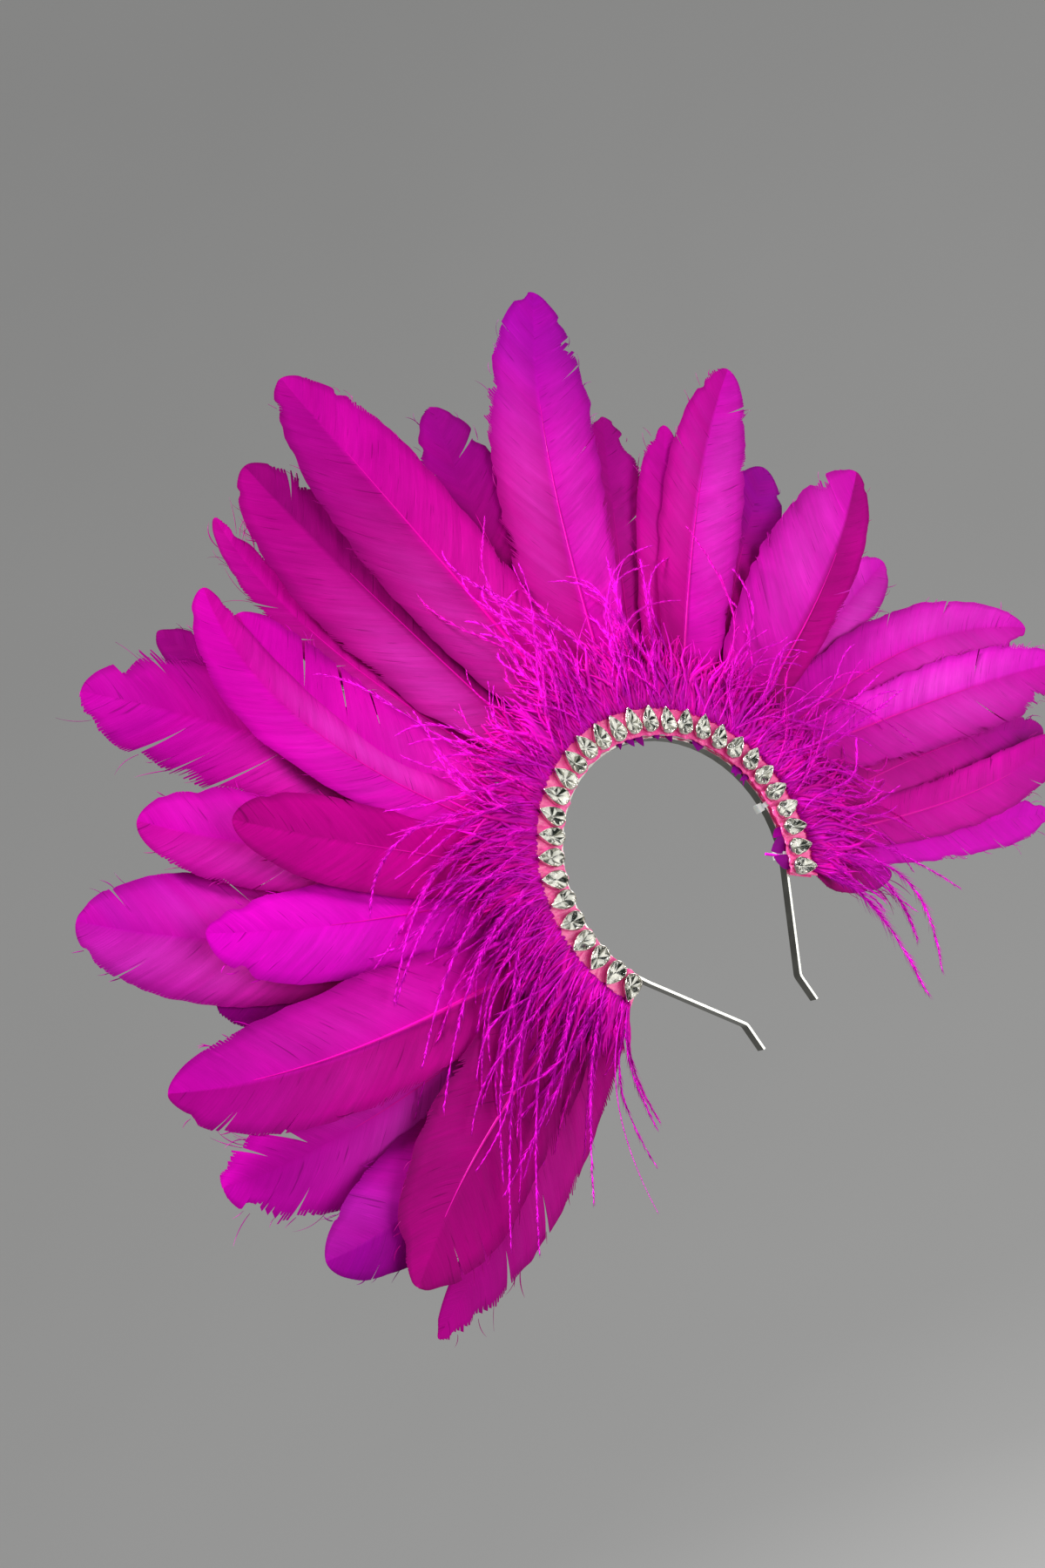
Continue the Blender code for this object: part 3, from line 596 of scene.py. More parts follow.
def add_vane(mesh, feather, side, quill_y, palette, random):
    """One vane as a row of barb cells. A cell ends on the outline at share e and is rooted at
    e - sweep * width(e) / length; at t, from 0 at the quill to 1, its foot is
    root + (e - root)(0.7 t + 0.3 t^2) and it stands t * width(e) off the quill. Cells hold together up
    to t = free, and where the edge is ragged their ends come loose and differ in reach."""
    fine = np.linspace(VANE_START - 0.01, 1.0, 500)
    run = running_length(np.stack([fine * feather.length, vane_width(feather, side, fine)], axis=1))
    cells = int(run[-1] / BARB_PITCH)
    lines = cells + 1
    ends = np.interp(np.linspace(0, run[-1], lines), run, fine)

    edge = vane_width(feather, side, ends)
    ripple = slow_noise(random, lines, 6) + 0.5 * slow_noise(random, lines, 2)
    edge = edge * (1 + (0.008 + 0.022 * feather.fray) * ripple * smooth_step(ends / 0.3))
    bite = np.clip(slow_noise(random, lines, 4) - 0.3, 0, 1.5) * smooth_step((ends - 0.82) / 0.1)
    edge = edge * (1 - TIP_BITE * (0.5 + feather.fray) * bite)
    sweep = SWEEP * (0.4 + 0.6 * smooth_step((ends - 0.08) / 0.4))
    roots = np.maximum.accumulate(np.clip(ends - sweep * edge / feather.length, 0.03, 1.0))
    ragged = smooth_step(slow_noise(random, lines, 7) * 0.45 + 0.8 * feather.fray - 0.4)
    free = HELD_SHARE - 0.10 * ragged

    cell = np.arange(cells)[:, None, None]
    border = cell + np.array([0, 1])  # the two borders of each cell
    held = np.array(HELD_POINTS)[None, :, None] * free[border]
    loose = np.array(LOOSE_POINTS)[None, :, None]
    torn = ragged[:-1, None, None]
    reach = 1 + torn * random.normal(-0.1, 0.4, cells)[:, None, None]
    past = free[border] + (1 - free[border]) * loose * np.clip(reach, 0.2, 2.2)
    t = np.concatenate([held, past], axis=1)
    narrow = np.concatenate([held * 0, (0.08 + 0.7 * torn) * loose * np.ones((cells, 1, 2))], axis=1)

    def narrowed(shares):
        """Shares at each cell's two borders, drawn in towards their middle where the cell is narrow."""
        middle = shares[border].mean(axis=-1, keepdims=True)
        return middle + (shares[border] - middle) * (1 - narrow)

    end, root = narrowed(ends), narrowed(roots)
    foot = root + (end - root) * (0.7 * t + 0.3 * t**2)
    stand = t * edge[border]

    apart = np.zeros_like(foot)
    partings = [(np.searchsorted(ends, at), *rest) for at, *rest in SPLITS.get((feather.station, side), ())]
    small = random.random(cells) < 0.004 + 0.025 * feather.fray * ragged[:-1]
    for where in np.nonzero(small)[0]:
        partings.append((where, random.uniform(0.55, 0.85), random.uniform(0.3, 1.0), random.uniform(2, 6)))
    for where, depth, gap, spread in partings:
        opened = np.clip((t - depth) / (1 - depth), 0, 1) ** 1.4 * np.exp(-np.abs(border - where) / spread)
        apart += np.where(cell >= where, 0.5, -0.5) * gap * opened
    foot = foot + apart / feather.length

    flat, _, across = quill_line(feather, foot)
    flat = flat + side * across * stand[..., None]
    place = side * np.clip(stand / max(edge.max(), 1.0), 0, 1.2)
    depth = feather_depth(feather, quill_y, flat, foot, place) + 0.5 * apart
    streaks = np.clip(0.9 + 0.10 * slow_noise(random, lines, 2)[border], 0.0, 1.5)
    tints = feather_tint(feather, foot, place, palette, streaks)
    shade = 1 + 0.012 * random.normal(0, 1, lines) + 0.03 * slow_noise(random, lines, 9)
    # Painted shade: each barb darkens by up to 0.3 towards the vane's outline, for the shade of the curled
    # edge.
    rim = 1 - 0.3 * smooth_step((t - 0.8) / 0.2)
    tints = tints * (np.clip(shade, 0.8, 1.2)[border] * rim)[..., None]
    maps = np.stack([end * feather.length * 0.1, 0.1 * side * stand + feather.station], axis=-1)
    index = np.arange(t.size).reshape(t.shape)
    left, right = index[..., 0], index[..., 1]
    quads = np.stack([left[:, :-1], left[:, 1:], right[:, 1:], right[:, :-1]], axis=-1).reshape(-1, 4)
    if side > 0:
        quads = quads[:, ::-1]
    points = at_depth(flat, depth).reshape(-1, 3)
    mesh.add(*thick_sheet(points, quads, maps.reshape(-1, 2), tints.reshape(-1, 3), VANE_THICKNESS))


def add_shaft(mesh, feather, quill_y, palette):
    """The quill: a tube along the feather's line whose radius falls from 1.1 mm to a hair at the tip."""
    shares = np.linspace(0, 0.985, SHAFT_SECTIONS)
    inner = on_arch(feather.station, np.linspace(QUILL_INNER, FEATHER_START - 1.5, 4))
    flat = np.vstack([inner, quill_line(feather, shares)[0]])
    shares = np.concatenate([np.zeros(4), shares])
    line = at_depth(flat, feather_depth(feather, quill_y, flat, shares, 0.0) + 0.1)
    radius = np.minimum(0.12 + 0.85 * feather.shaft * (1 - shares) ** 1.25, 1.25)
    bright = np.clip(0.55 + 0.3 * feather.shaft - 0.5 * shares, 0, 1)
    add_tube(mesh, line, radius, 6, mix(palette["magenta"], palette["shaft"], bright), 1)


def add_wisps(mesh, feather, side, quill_y, palette, random):
    """Single barbs that have come loose at a vane's edge: thin strips that leave the outline at a slant
    to the quill, and turn by a steady bend along their length."""
    number = int(3 + 13 * feather.fray)
    share = random.uniform(0.3, 1.0, number) ** 0.6 * 0.97
    flat, along, across = quill_line(feather, share)
    across = side * across
    stand = vane_width(feather, side, share) * 0.95
    length = random.uniform(3.0, 6.0 + 20.0 * feather.fray**2, number)
    slant = random.uniform(0.2, 0.7, number)[:, None]
    bend = random.uniform(-1.3, 1.1, number)[:, None]
    angle = (slant + bend * np.linspace(0, 1, 9))[..., None]
    step = (along[:, None] * np.cos(angle) + across[:, None] * np.sin(angle)) * (length / 8)[:, None, None]
    flat = (flat + across * stand[:, None])[:, None] + np.cumsum(step, axis=1) - step
    lines = at_depth(flat, feather_depth(feather, quill_y, flat, share[:, None], side))
    tint = feather_tint(feather, share, 0.9 * side, palette, 1.0)
    add_locks(mesh, lines, random.uniform(0.35, 0.8, number), tint, random, WISP_THICKNESS)


def add_feather(mesh, feather, quill_y, palette, seed):
    """A whole feather: two vanes, each with its loose barbs, and the quill between them."""
    random = np.random.default_rng(seed + feather.station + FEATHER_SEED)
    for side in (-1, 1):
        add_vane(mesh, feather, side, quill_y, palette, random)
        add_wisps(mesh, feather, side, quill_y, palette, random)
    add_shaft(mesh, feather, quill_y, palette)


# Fringe


def falling_lines(start, way, hang, length, sections, phase, turns, curl):
    """Lines of points that leave start along way and bend to the hang: the direction at share s is
    way + hang * s^1.2 + side * (swing * s^0.5 + curl * s^2.5), made unit, where swing is a slow wave,
    and the line adds up its steps."""
    share = np.linspace(0, 1, sections)[None, :, None]
    phase, turns, curl = phase[:, None, None], turns[:, None, None], curl[:, None, None]
    side = unit(np.cross(way, Y_AXIS))[:, None]
    swing = STRAND_SWING * np.sin(phase + 6.28 * turns * share) * share**0.5 + curl * share**2.5
    direction = unit(way[:, None] + hang[:, None] * share**1.2 + side * swing)
    steps = direction * (length / (sections - 1))[:, None, None]
    moved = np.cumsum((steps[:, 1:] + steps[:, :-1]) / 2, axis=1)
    return start[:, None] + np.concatenate([np.zeros((len(start), 1, 3)), moved], axis=1)


def add_strands(mesh, lines, barbules, fluff, tint, random, stem, spread_deg):
    """Strands of ostrich: a three-sided tapering stem, and slim pointed barbules that leave it all round
    at the given spread of degrees, longest in the middle, so that each strand looks like a soft rope."""
    number, sections, _ = lines.shape
    tangent, side, normal = frame_along(lines)
    share = np.linspace(0, 1, sections)[:, None, None]
    turn = np.array([0.0, 2.094, 4.189])[:, None]
    ring = np.cos(turn) * side[:, :, None] + np.sin(turn) * normal[:, :, None]
    # Painted shade: each stem darkens towards its root.
    shade = np.broadcast_to(tint[:, None, None] * (0.8 + 0.2 * share), ring.shape)
    add_prisms(mesh, lines[:, :, None] + ring * stem * (1 - 0.8 * share), shade)

    place = np.sort(random.uniform(0.12, 0.99, (number, barbules)), axis=1)
    low = np.minimum((place * (sections - 1)).astype(int), sections - 2)
    part = (place * (sections - 1) - low)[..., None]
    rows = np.arange(number)[:, None]

    def along(values):
        """Values at the barbules' places, mixed from the two sections beside each."""
        return values[rows, low] * (1 - part) + values[rows, low + 1] * part

    root, forward = along(lines), unit(along(tangent))
    twist = random.uniform(0, 6.28, place.shape)[..., None]
    flank = unit(np.cos(twist) * along(side) + np.sin(twist) * along(normal))
    lean = np.radians(random.uniform(*spread_deg, place.shape) * (1.2 - 0.5 * place))[..., None]
    way = unit(forward * np.cos(lean) + flank * np.sin(lean))
    long = fluff[:, None] * (0.5 + 0.7 * np.sin(math.pi * np.clip(place * 0.9 + 0.08, 0, 1)))
    long = long * random.uniform(0.6, 1.3, place.shape)
    flank = flank * BARBULE_WIDTH
    other = unit(np.cross(way, forward)) * BARBULE_WIDTH
    base, tip = root - flank * 0.5, root + way * long[..., None]
    corners = np.stack([root + flank, base + other, base - other, tip], axis=2).reshape(-1, 4, 3)
    tris = TETRAHEDRON + np.arange(len(corners))[:, None, None] * 4
    inside_out = np.linalg.det(corners[:, 1:] - corners[:, :1]) < 0
    tris[inside_out] = tris[inside_out][..., ::-1]
    # Brightness at random, and darker towards the root as painted shade.
    bright = random.uniform(0.75, 1.25, place.shape) * (0.8 + 0.3 * place)
    shade = np.broadcast_to(tint[:, None, None] * bright[..., None, None], (number, barbules, 4, 3))
    mesh.add(corners, None, tris, None, shade)


def fringe_roots(stations, random):
    """Root points on the ribbon, just past the stones, and the radial direction at each."""
    flat = on_arch(stations, random.uniform(*FRINGE_ROOT_RADII, len(stations)))
    start = at_depth(flat, random.uniform(*FRINGE_ROOT_DEPTHS, len(stations)))
    return start, at_depth(on_arch(stations, 1.0), 0.0)


def add_locks(mesh, lines, width, tint, random, thickness=LOCK_THICKNESS):
    """Short flat locks that lie over one another: each is a closed four-sided strip along its line, half
    as wide as width times (1 - s)^0.7 (0.35 + 1.5 s), capped at 1, and thin, with a raised middle."""
    number, sections, _ = lines.shape
    tangent, side, normal = frame_along(lines)
    turned = random.normal(0, LOCK_TWIST, (number, 1, 1))
    side = side * np.cos(turned) + normal * np.sin(turned)
    s = np.linspace(0, 1, sections)[:, None]
    half = width[:, None, None] / 2 * (np.minimum(0.35 + 1.5 * s, 1.0) * (1 - s) ** 0.7 + 0.04)
    thick = thickness * (1.45 - 0.45 * s)
    side, normal = side * half, np.cross(side, tangent) * thick
    corners = np.stack([lines - side, lines - normal, lines + side, lines + normal], axis=2)
    # Painted light and shade: the raised middle is lighter, the edges darker, and the colour darkens
    # towards the root.
    edge = np.array([0.92, 1.08, 0.92, 1.08])[:, None]
    add_prisms(mesh, corners, tint[:, None, None] * (0.7 + 0.35 * s[:, None]) * edge)


def tufted(low, high, number, tuft, within, random):
    """Random numbers for a row of strands, shared by each tuft but for a small spread of their own."""
    own = random.uniform(low, high, number // tuft + 1)
    return np.repeat(own, tuft)[:number] + random.normal(0, within, number)


def add_fringe(mesh, fringe, palette, random):
    """A bed of short locks, then longer strands in tufts: a tuft shares its place, heading and bend."""

    def grown(per_degree, tuft, length, sections, lift, yaw, hang_share, curl):
        """Falling lines of one kind, strewn evenly along the stretch, and their number."""
        run = fringe.last - fringe.first
        number = int(run * per_degree)
        groups = number // tuft + 1

        def drawn(low, high, within):
            """Random numbers of the strands, shared by each tuft."""
            return tufted(low, high, number, tuft, within, random)

        stations = fringe.first + (np.arange(groups) + random.uniform(0, 1, groups)) * run / groups
        stations = np.repeat(stations, tuft)[:number] + random.normal(0, 0.8, number) * (tuft > 1)
        stations = np.clip(stations, fringe.first, fringe.last)
        start, radial = fringe_roots(stations, random)
        side = -np.cross(radial, Y_AXIS)
        heading = drawn(-yaw, yaw, 0.10)[:, None]
        forward = random.uniform(-0.02, lift, (number, 1))
        way = unit(radial + side * heading - Y_AXIS * forward)
        droop = fringe.droop * drawn(0.5, 1.5, 0.15) * hang_share
        if fringe.piece == "left":
            droop = droop * (0.55 + 0.45 * np.clip((stations - fringe.last) / -40, 0, 1))
        hang = HANG * droop[:, None] * 1.8
        reach = length * drawn(0.55, 1.12, 0.14) * np.where(np.abs(stations) > END_DEG, END_SHARE, 1.0)
        bends = drawn(0, 6.28, 0.4), drawn(0.4, 1.2, 0.1), drawn(-curl, curl, 0.2)
        return falling_lines(start, way, hang, reach, sections, *bends), number

    locks, number = grown(LOCKS_PER_DEGREE, 1, LOCK_LENGTH, 7, 0.06, 0.30, 0.7, 0.3)
    tint = mix(palette["hot"], palette["ostrich_deep"], random.uniform(0, 1, number))
    tint = tint * random.uniform(0.85, 1.15, number)[:, None]
    add_locks(mesh, locks, LOCK_WIDTH * random.uniform(0.5, 1.2, number), tint, random)
    for kind in GROWTHS:
        density, length = kind.per_degree * fringe.thick, fringe.length * kind.length
        lines, number = grown(density, kind.tuft, length, kind.sections, kind.lift, 0.6, 1.0, fringe.curl)
        # Painted light and shade: each strand is mixed between the shaded and the lit ostrich colour.
        bright = np.clip(random.normal(kind.bright, 0.25, number), 0, 1)
        tint = mix(palette["ostrich_deep"], palette["ostrich"], bright)
        fluff = np.full(number, kind.fluff)
        add_strands(mesh, lines, kind.barbules, fluff, tint, random, kind.stem, FRINGE_SPREAD_DEG)


def add_long_strands(mesh, piece, palette, random):
    """The single long strands of one stretch, on (1-s)^2 root + 2 s (1-s) bend + s^2 tip."""
    station, bend_x, bend_z, tip_x, tip_z, fluff = np.array(LONG_STRANDS[piece], float).T
    start = fringe_roots(station, random)[0][:, None]
    bend = at_depth(np.stack([bend_x, bend_z], axis=1), BEND_Y)[:, None]
    tip = at_depth(np.stack([tip_x, tip_z], axis=1), STRAND_TIP_Y)[:, None]
    s = np.linspace(0, 1, LONG_SECTIONS)[:, None]
    lines = (1 - s) ** 2 * start + 2 * s * (1 - s) * bend + s**2 * tip
    tint = np.repeat(palette["ostrich"][None], len(lines), axis=0)
    add_strands(mesh, lines, LONG_BARBULES, fluff, tint, random, LONG_STEM, LONG_SPREAD_DEG)


def add_trimmings(mesh, row, palette, random):
    """Trimmed barb ends of one rear row: pointed locks straight from their root in to their point."""
    if row not in TRIMMINGS:
        return
    station, radius, width, lean = np.array(TRIMMINGS[row], float).T
    root = on_arch(station, TRIMMING_ROOT)[:, None]
    tip = on_arch(station + lean, radius)[:, None]
    share = np.linspace(0, 1, 6)[:, None]
    lines = at_depth(root * (1 - share) + tip * share, TRIMMING_Y)
    # Painted shade: these ends lie in shade under the ribbons, so their colour is darkened to three
    # quarters.
    tint = 0.75 * mix(palette["purple"], palette["deep"], random.uniform(0, 0.6, len(lines)))
    add_locks(mesh, lines, width, tint, random)


def add_tape(mesh, first, last, tint):
    """The flat tape that a rear row is sewn to: a rectangle carried along the arch."""
    line = at_depth(on_arch(np.linspace(first, last, TAPE_SECTIONS), TAPE_RADIUS), TAPE_Y)
    _, side, normal = frame_along(line)
    side, normal = side * TAPE_HALF_WIDTH, normal * TAPE_HALF_DEPTH
    corners = [line - side - normal, line + side - normal, line + side + normal, line - side + normal]
    add_prisms(mesh, np.stack(corners, axis=1)[None], tint)


# Stones and ribbons


def pear(turns, length, width):
    """Teardrop outline with its point at turn 0: across is width/2/0.77 sin(a) sin(a/2), and along is
    length/2 cos(a)."""
    across = width / 2 / 0.77 * np.sin(turns) * np.sin(turns / 2)
    return np.stack([across, length / 2 * np.cos(turns)], axis=-1)


def stone_place(number):
    """Middle, sideways and outward directions of a stone, turned a little about its own middle."""
    station = (number - (STONE_COUNT + 1) / 2) * STONE_PITCH_DEG
    turned = math.radians(STONE_TURN_DEG) * math.sin(number * 2.4)
    out, across = on_arch(station, 1.0), on_arch(station + 90, 1.0)
    middle = (STONE_RADIUS + STONE_SHIFT * math.sin(number * 1.9)) * out
    return (
        middle,
        across * math.cos(turned) + out * math.sin(turned),
        out * math.cos(turned) - across * math.sin(turned),
    )


def add_stone(mesh, number, sizes):
    """A pear stone in its claw cup. Rings of the outline, scaled about the stone's heart and raised, are
    joined by kite, star and girdle facets; the cup is a wall whose rim rises and leans in at each claw."""
    middle, across, out = stone_place(number)
    back = FRONT_RIBBON_Y - STONE_GAP
    full, wide = sizes.stone_length / MM, sizes.stone_width / MM
    heart = np.array([0.0, HEART_SHARE * full])

    def placed(flat, height):
        """Points of the stone's own plane put in their place, at a height off its back."""
        return at_depth(middle + flat[..., :1] * across + flat[..., 1:] * out, back - height)

    def ring(count, scale, height, start):
        """Points round the outline, scaled about the heart."""
        turns = (np.arange(count) + start) / count * TURN
        return placed(heart + (pear(turns, full - CUP_MARGIN, wide - CUP_MARGIN) - heart) * scale, height)

    def cut(girdle, mid, table):
        """Triangles of one cut face, stars, kites, girdle halves and table, for 16, 8 and 8 points."""
        k = np.arange(8)
        after, corner = (k + 1) % 8, girdle + (2 * k + 2) % 16
        parts = (
            (table + k, mid + k, table + after),
            (table + after, mid + k, corner),
            (table + after, corner, mid + after),
            (mid + k, girdle + 2 * k, girdle + 2 * k + 1),
            (mid + k, girdle + 2 * k + 1, corner),
            (np.full(6, table), table + k[1:7], table + k[2:8]),
        )
        return np.vstack([np.stack(part, axis=1) for part in parts])

    glass = np.vstack([ring(*row) for row in GLASS_RINGS])
    around = np.arange(16)
    after = (around + 1) % 16
    band = np.stack([after, 32 + after, 32 + around, around], axis=1)
    facets = cut(0, 16, 24)[:, ::-1]
    mesh.add(glass, band, np.vstack([facets, cut(32, 48, 56)]))

    front = np.vstack([ring(*row) for row in FOIL_RINGS])[facets]
    behind = front.mean(axis=1, keepdims=True) + FOIL_DEPTH * Y_AXIS
    random = np.random.default_rng(sizes.seed + number)
    # Each foil facet gets one painted reflection: near black, grey or near white.
    shade = FOIL_PAINTED_REFLECTIONS[random.choice(len(FOIL_PAINTED_REFLECTIONS), len(facets), p=FOIL_REFLECTION_SHARES)]
    tris = TETRAHEDRON[:, ::-1] + np.arange(len(facets))[:, None, None] * 4
    mesh.add(np.concatenate([front, behind], axis=1), None, tris, None, np.repeat(shade, 4, axis=0), 1)

    turns = np.arange(CUP_STEPS) / CUP_STEPS * TURN
    gaps = np.abs((turns - np.array(CLAWS_AT)[:, None] + math.pi) % TURN - math.pi)
    claws = np.exp(-((gaps / CLAW_WIDTH) ** 2)).max(axis=0)
    scallop = SCALLOP_HEIGHT * np.abs(np.sin(turns * SCALLOP_TURNS))
    ends = placed(np.array([heart, heart]), np.array([0.0, CUP_FLOOR]))

    def wall(inset, lean, height, scalloped, raised):
        """A ring of the cup, raised by its share of scallops and claws and leaned in at the claws."""
        flat = pear(turns, full - inset * 2, wide - inset * 2)
        points = placed(flat, height + scallop * scalloped + raised * claws)
        return points + unit((ends[0] - points) * (1.0, 0.0, 1.0)) * (lean * claws)[:, None]

    add_loft(mesh, np.stack([wall(*row) for row in CUP_RINGS]), ends, finish=2)


def add_ribbon(mesh, inner, outer, y, thickness, ripple, curl, random):
    """A ribbon on edge round the arch, closed all round its section. The section is a flat loop with
    round edges; it waves in depth between the stones and its inner edge curls and crumples."""
    half = thickness / 2
    front = np.linspace(0, 1, RIBBON_POINTS)
    loop_r = np.concatenate([[0.0], front, [1.0], front[::-1]])
    loop_y = np.repeat([0.0, -1.0, 0.0, 1.0], (1, RIBBON_POINTS, 1, RIBBON_POINTS))
    width = outer - inner
    edge = half * 0.8 / width
    share = np.where(loop_y == 0, loop_r, np.clip(loop_r, edge, 1 - edge))
    stations = np.linspace(-RIBBON_END_DEG, RIBBON_END_DEG, RIBBON_SECTIONS)[:, None]
    a = np.radians(stations)
    n = stations / STONE_PITCH_DEG
    wobble = random.normal(0, 1, (7, 2))
    noise = sum(w[0] * np.sin(a * (11 + 13 * i) + w[1] * 3) for i, w in enumerate(wobble)) / 4
    lip = (1 - share) ** 3
    radius = inner + share * width + lip * (0.45 * noise + 0.35 * np.sin(n * TURN + 1.0)) * curl
    radius = radius + share**6 * 0.25 * np.sin(a * 37 + 1)
    pleat = np.cos(n * TURN) * np.cos((share - 0.1) * 2.2)
    cross = np.sin(a * 90 + share * 7 + 2 * noise)
    depth = y + half + loop_y * half + ripple * (0.30 * pleat + 0.10 * cross + 0.12 * noise)
    depth = depth - lip * curl * (0.25 + 0.35 * np.sin(a * 53 + 3 * noise))
    rings = at_depth(on_arch(stations, 1.0) * radius[..., None], depth)
    maps = np.stack(np.broadcast_arrays(a * 7.0, share * width * 0.1), axis=-1)
    add_loft(mesh, rings, rings[[0, -1]].mean(axis=1), maps)


# Finishes


class Finish:
    """A material with its main shader at hand, and short ways to add and join nodes."""

    def __init__(self, name):
        self.material = bpy.data.materials.new(name)
        self.material.use_nodes = True
        self.tree = self.material.node_tree
        self.shader = self.tree.nodes["Principled BSDF"]

    def put(self, node, values):
        """A value named like an input is joined or set there, any other is a property of the node."""
        for name, value in values.items():
            socket = node.inputs.get(name.replace("_", " "))
            if socket is None:
                setattr(node, name, value)
            elif isinstance(value, bpy.types.NodeSocket):
                self.tree.links.new(value, socket)
            else:
                socket.default_value = value

    def set(self, **values):
        """Sets or joins inputs of the main shader."""
        self.put(self.shader, values)

    def node(self, kind, **values):
        """A new node of a kind, with its values."""
        made = self.tree.nodes.new("ShaderNode" + kind)
        self.put(made, values)
        return made

    def place(self):
        """Where a point lies, in the piece's own axes."""
        return self.node("TexCoord").outputs["Object"]

    def plan(self):
        """The piece's own map, about one to the centimetre."""
        return self.node("UVMap", uv_map="Plan").outputs["UV"]

    def tint(self):
        """The piece's own colours."""
        return self.node("Attribute", attribute_name="Tint").outputs["Color"]

    def noise(self, vector, scale, detail=3.0, rough=0.55):
        """Noise of one scale, or of its own scale in each direction."""
        if isinstance(scale, tuple):
            vector, scale = self.node("Mapping", Vector=vector, Scale=scale).outputs["Vector"], 1.0
        made = self.node("TexNoise", Vector=vector, Scale=scale, Detail=detail, Roughness=rough)
        return made.outputs["Fac"]

    def ranged(self, value, first, last, low=0.3, high=0.7):
        """first where the value is low, last where it is high."""
        made = self.node("MapRange", Value=value, From_Min=low, From_Max=high, To_Min=first, To_Max=last)
        return made.outputs["Result"]

    def shaded(self, colour, *spread):
        """The colour times a ranged value."""
        made = self.node("VectorMath", operation="SCALE", Vector=colour, Scale=self.ranged(*spread))
        return made.outputs["Vector"]

    def ramp(self, value, dark, light, low=0.0, high=1.0):
        """The dark colour up to low, the light one from high."""
        made = self.node("ValToRGB", Fac=value)
        for stop, position, colour in zip(made.color_ramp.elements, (low, high), (dark, light)):
            stop.position, stop.color = position, (*colour, 1.0)
        return made.outputs["Color"]

    def bump(self, height, strength, distance, **before):
        """Fine relief from a height, over the relief before it."""
        made = self.node("Bump", Height=height, Strength=strength, Distance=distance, **before)
        return made.outputs["Normal"]


def barb_finish(name, line_bump, sheen):
    """Dyed barbs: fine lines that run along each barb in the piece's own map, and slow silky streaks the
    same way, over the piece's own tint, with sparse thin lines of painted shade for partings and
    sparse painted glints."""
    finish = Finish(name)
    plan, colour = finish.plan(), finish.tint()
    lines = finish.noise(plan, (34.0, 0.9, 1.0), 3.0, 0.6)
    streaks = finish.noise(plan, (2.2, 0.30, 1.0))
    patches = finish.noise(finish.place(), 38.0, 3.0, 0.5)
    gaps = finish.noise(plan, (9.0, 0.55, 1.0), 2.0, 0.5)
    glints = finish.noise(plan, (13.0, 0.8, 5.0), 2.0, 0.5)
    folds = finish.noise(plan, (0.9, 0.25, 1.0), 2.0, 0.5)
    for spread in (
        (lines, 0.91, 1.09),
        (streaks, 0.95, 1.05),
        (patches, 0.92, 1.07),
        # Painted shade: sparse dark lines where the barbs seem to part; then painted highlight: sparse
        # glints.
        (gaps, 1.0, 0.62, 0.65, 0.70),
        (glints, 1.0, 1.15, 0.62, 0.72),
    ):
        colour = finish.shaded(colour, *spread)
    normal = finish.bump(streaks, 0.12, 0.0006, Normal=finish.bump(lines, line_bump, 0.0001))
    finish.set(Base_Color=colour, Roughness=finish.ranged(streaks, 0.40, 0.55))
    finish.set(Normal=finish.bump(folds, 0.22, 0.003, Normal=normal))
    finish.set(Sheen_Weight=sheen, Sheen_Roughness=0.4, Sheen_Tint=(1.0, 0.0, 0.8, 1.0))
    finish.set(Specular_IOR_Level=0.2, Specular_Tint=(1.0, 0.12, 0.85, 1.0))
    return finish.material


def shaft_finish():
    """Horny quill: a smooth dyed shaft with faint length-wise lines."""
    finish = Finish("dyed_quill")
    lines = finish.noise(finish.plan(), (1.2, 14.0, 1.0), 2.0)
    finish.set(Base_Color=finish.shaded(finish.tint(), lines, 0.88, 1.12))
    finish.set(Normal=finish.bump(lines, 0.3, 0.00008), Roughness=0.32)
    finish.set(Specular_IOR_Level=0.4, Specular_Tint=(1.0, 0.15, 0.75, 1.0))
    return finish.material


def ostrich_finish():
    """Soft ostrich barbules: their own tint with slow shifts of shade, and a faint dyed sheen."""
    finish = Finish("dyed_ostrich")
    patches = finish.noise(finish.place(), 120.0)
    finish.set(Base_Color=finish.shaded(finish.tint(), patches, 0.80, 1.20))
    finish.set(Roughness=finish.ranged(patches, 0.5, 0.65))
    finish.set(Sheen_Weight=0.15, Sheen_Roughness=0.5, Sheen_Tint=(1.0, 0.05, 0.7, 1.0))
    finish.set(Specular_IOR_Level=0.3, Specular_Tint=(1.0, 0.2, 0.85, 1.0))
    return finish.material


def satin_finish(colour):
    """Satin ribbon: fine warp lines along it, finer weft across, creases with painted shade, light and dark
    streaks, and a faint painted pink glow.
    """
    finish = Finish("pink_satin")
    plan = finish.plan()
    warp = finish.noise(plan, (2.5, 90.0, 1.0), 2.0)
    weft = finish.noise(plan, (60.0, 3.0, 1.0), 2.0)
    crease = finish.noise(plan, (3.2, 1.6, 1.0), 4.0, 0.6)
    # Painted shade: the colour darkens to 0.84 in the creases.
    shade = finish.ramp(crease, colour * 0.84, colour, 0.32, 0.70)
    finish.set(Base_Color=finish.shaded(shade, warp, 0.93, 1.07))
    finish.set(Roughness=finish.ranged(crease, 0.22, 0.36))
    normal = finish.bump(weft, 0.25, 0.00006, Normal=finish.bump(warp, 0.35, 0.00006))
    finish.set(Normal=finish.bump(crease, 0.7, 0.0012, Normal=normal), Specular_IOR_Level=0.8)
    finish.set(Sheen_Weight=0.5, Sheen_Roughness=0.3, Sheen_Tint=(1.0, 0.6, 0.8, 1.0))
    # Painted glow: a faint pink emission stands in for the satin's bright highlights.
    finish.set(Emission_Color=(1.0, 0.04, 0.30, 1.0), Emission_Strength=0.16)
    return finish.material


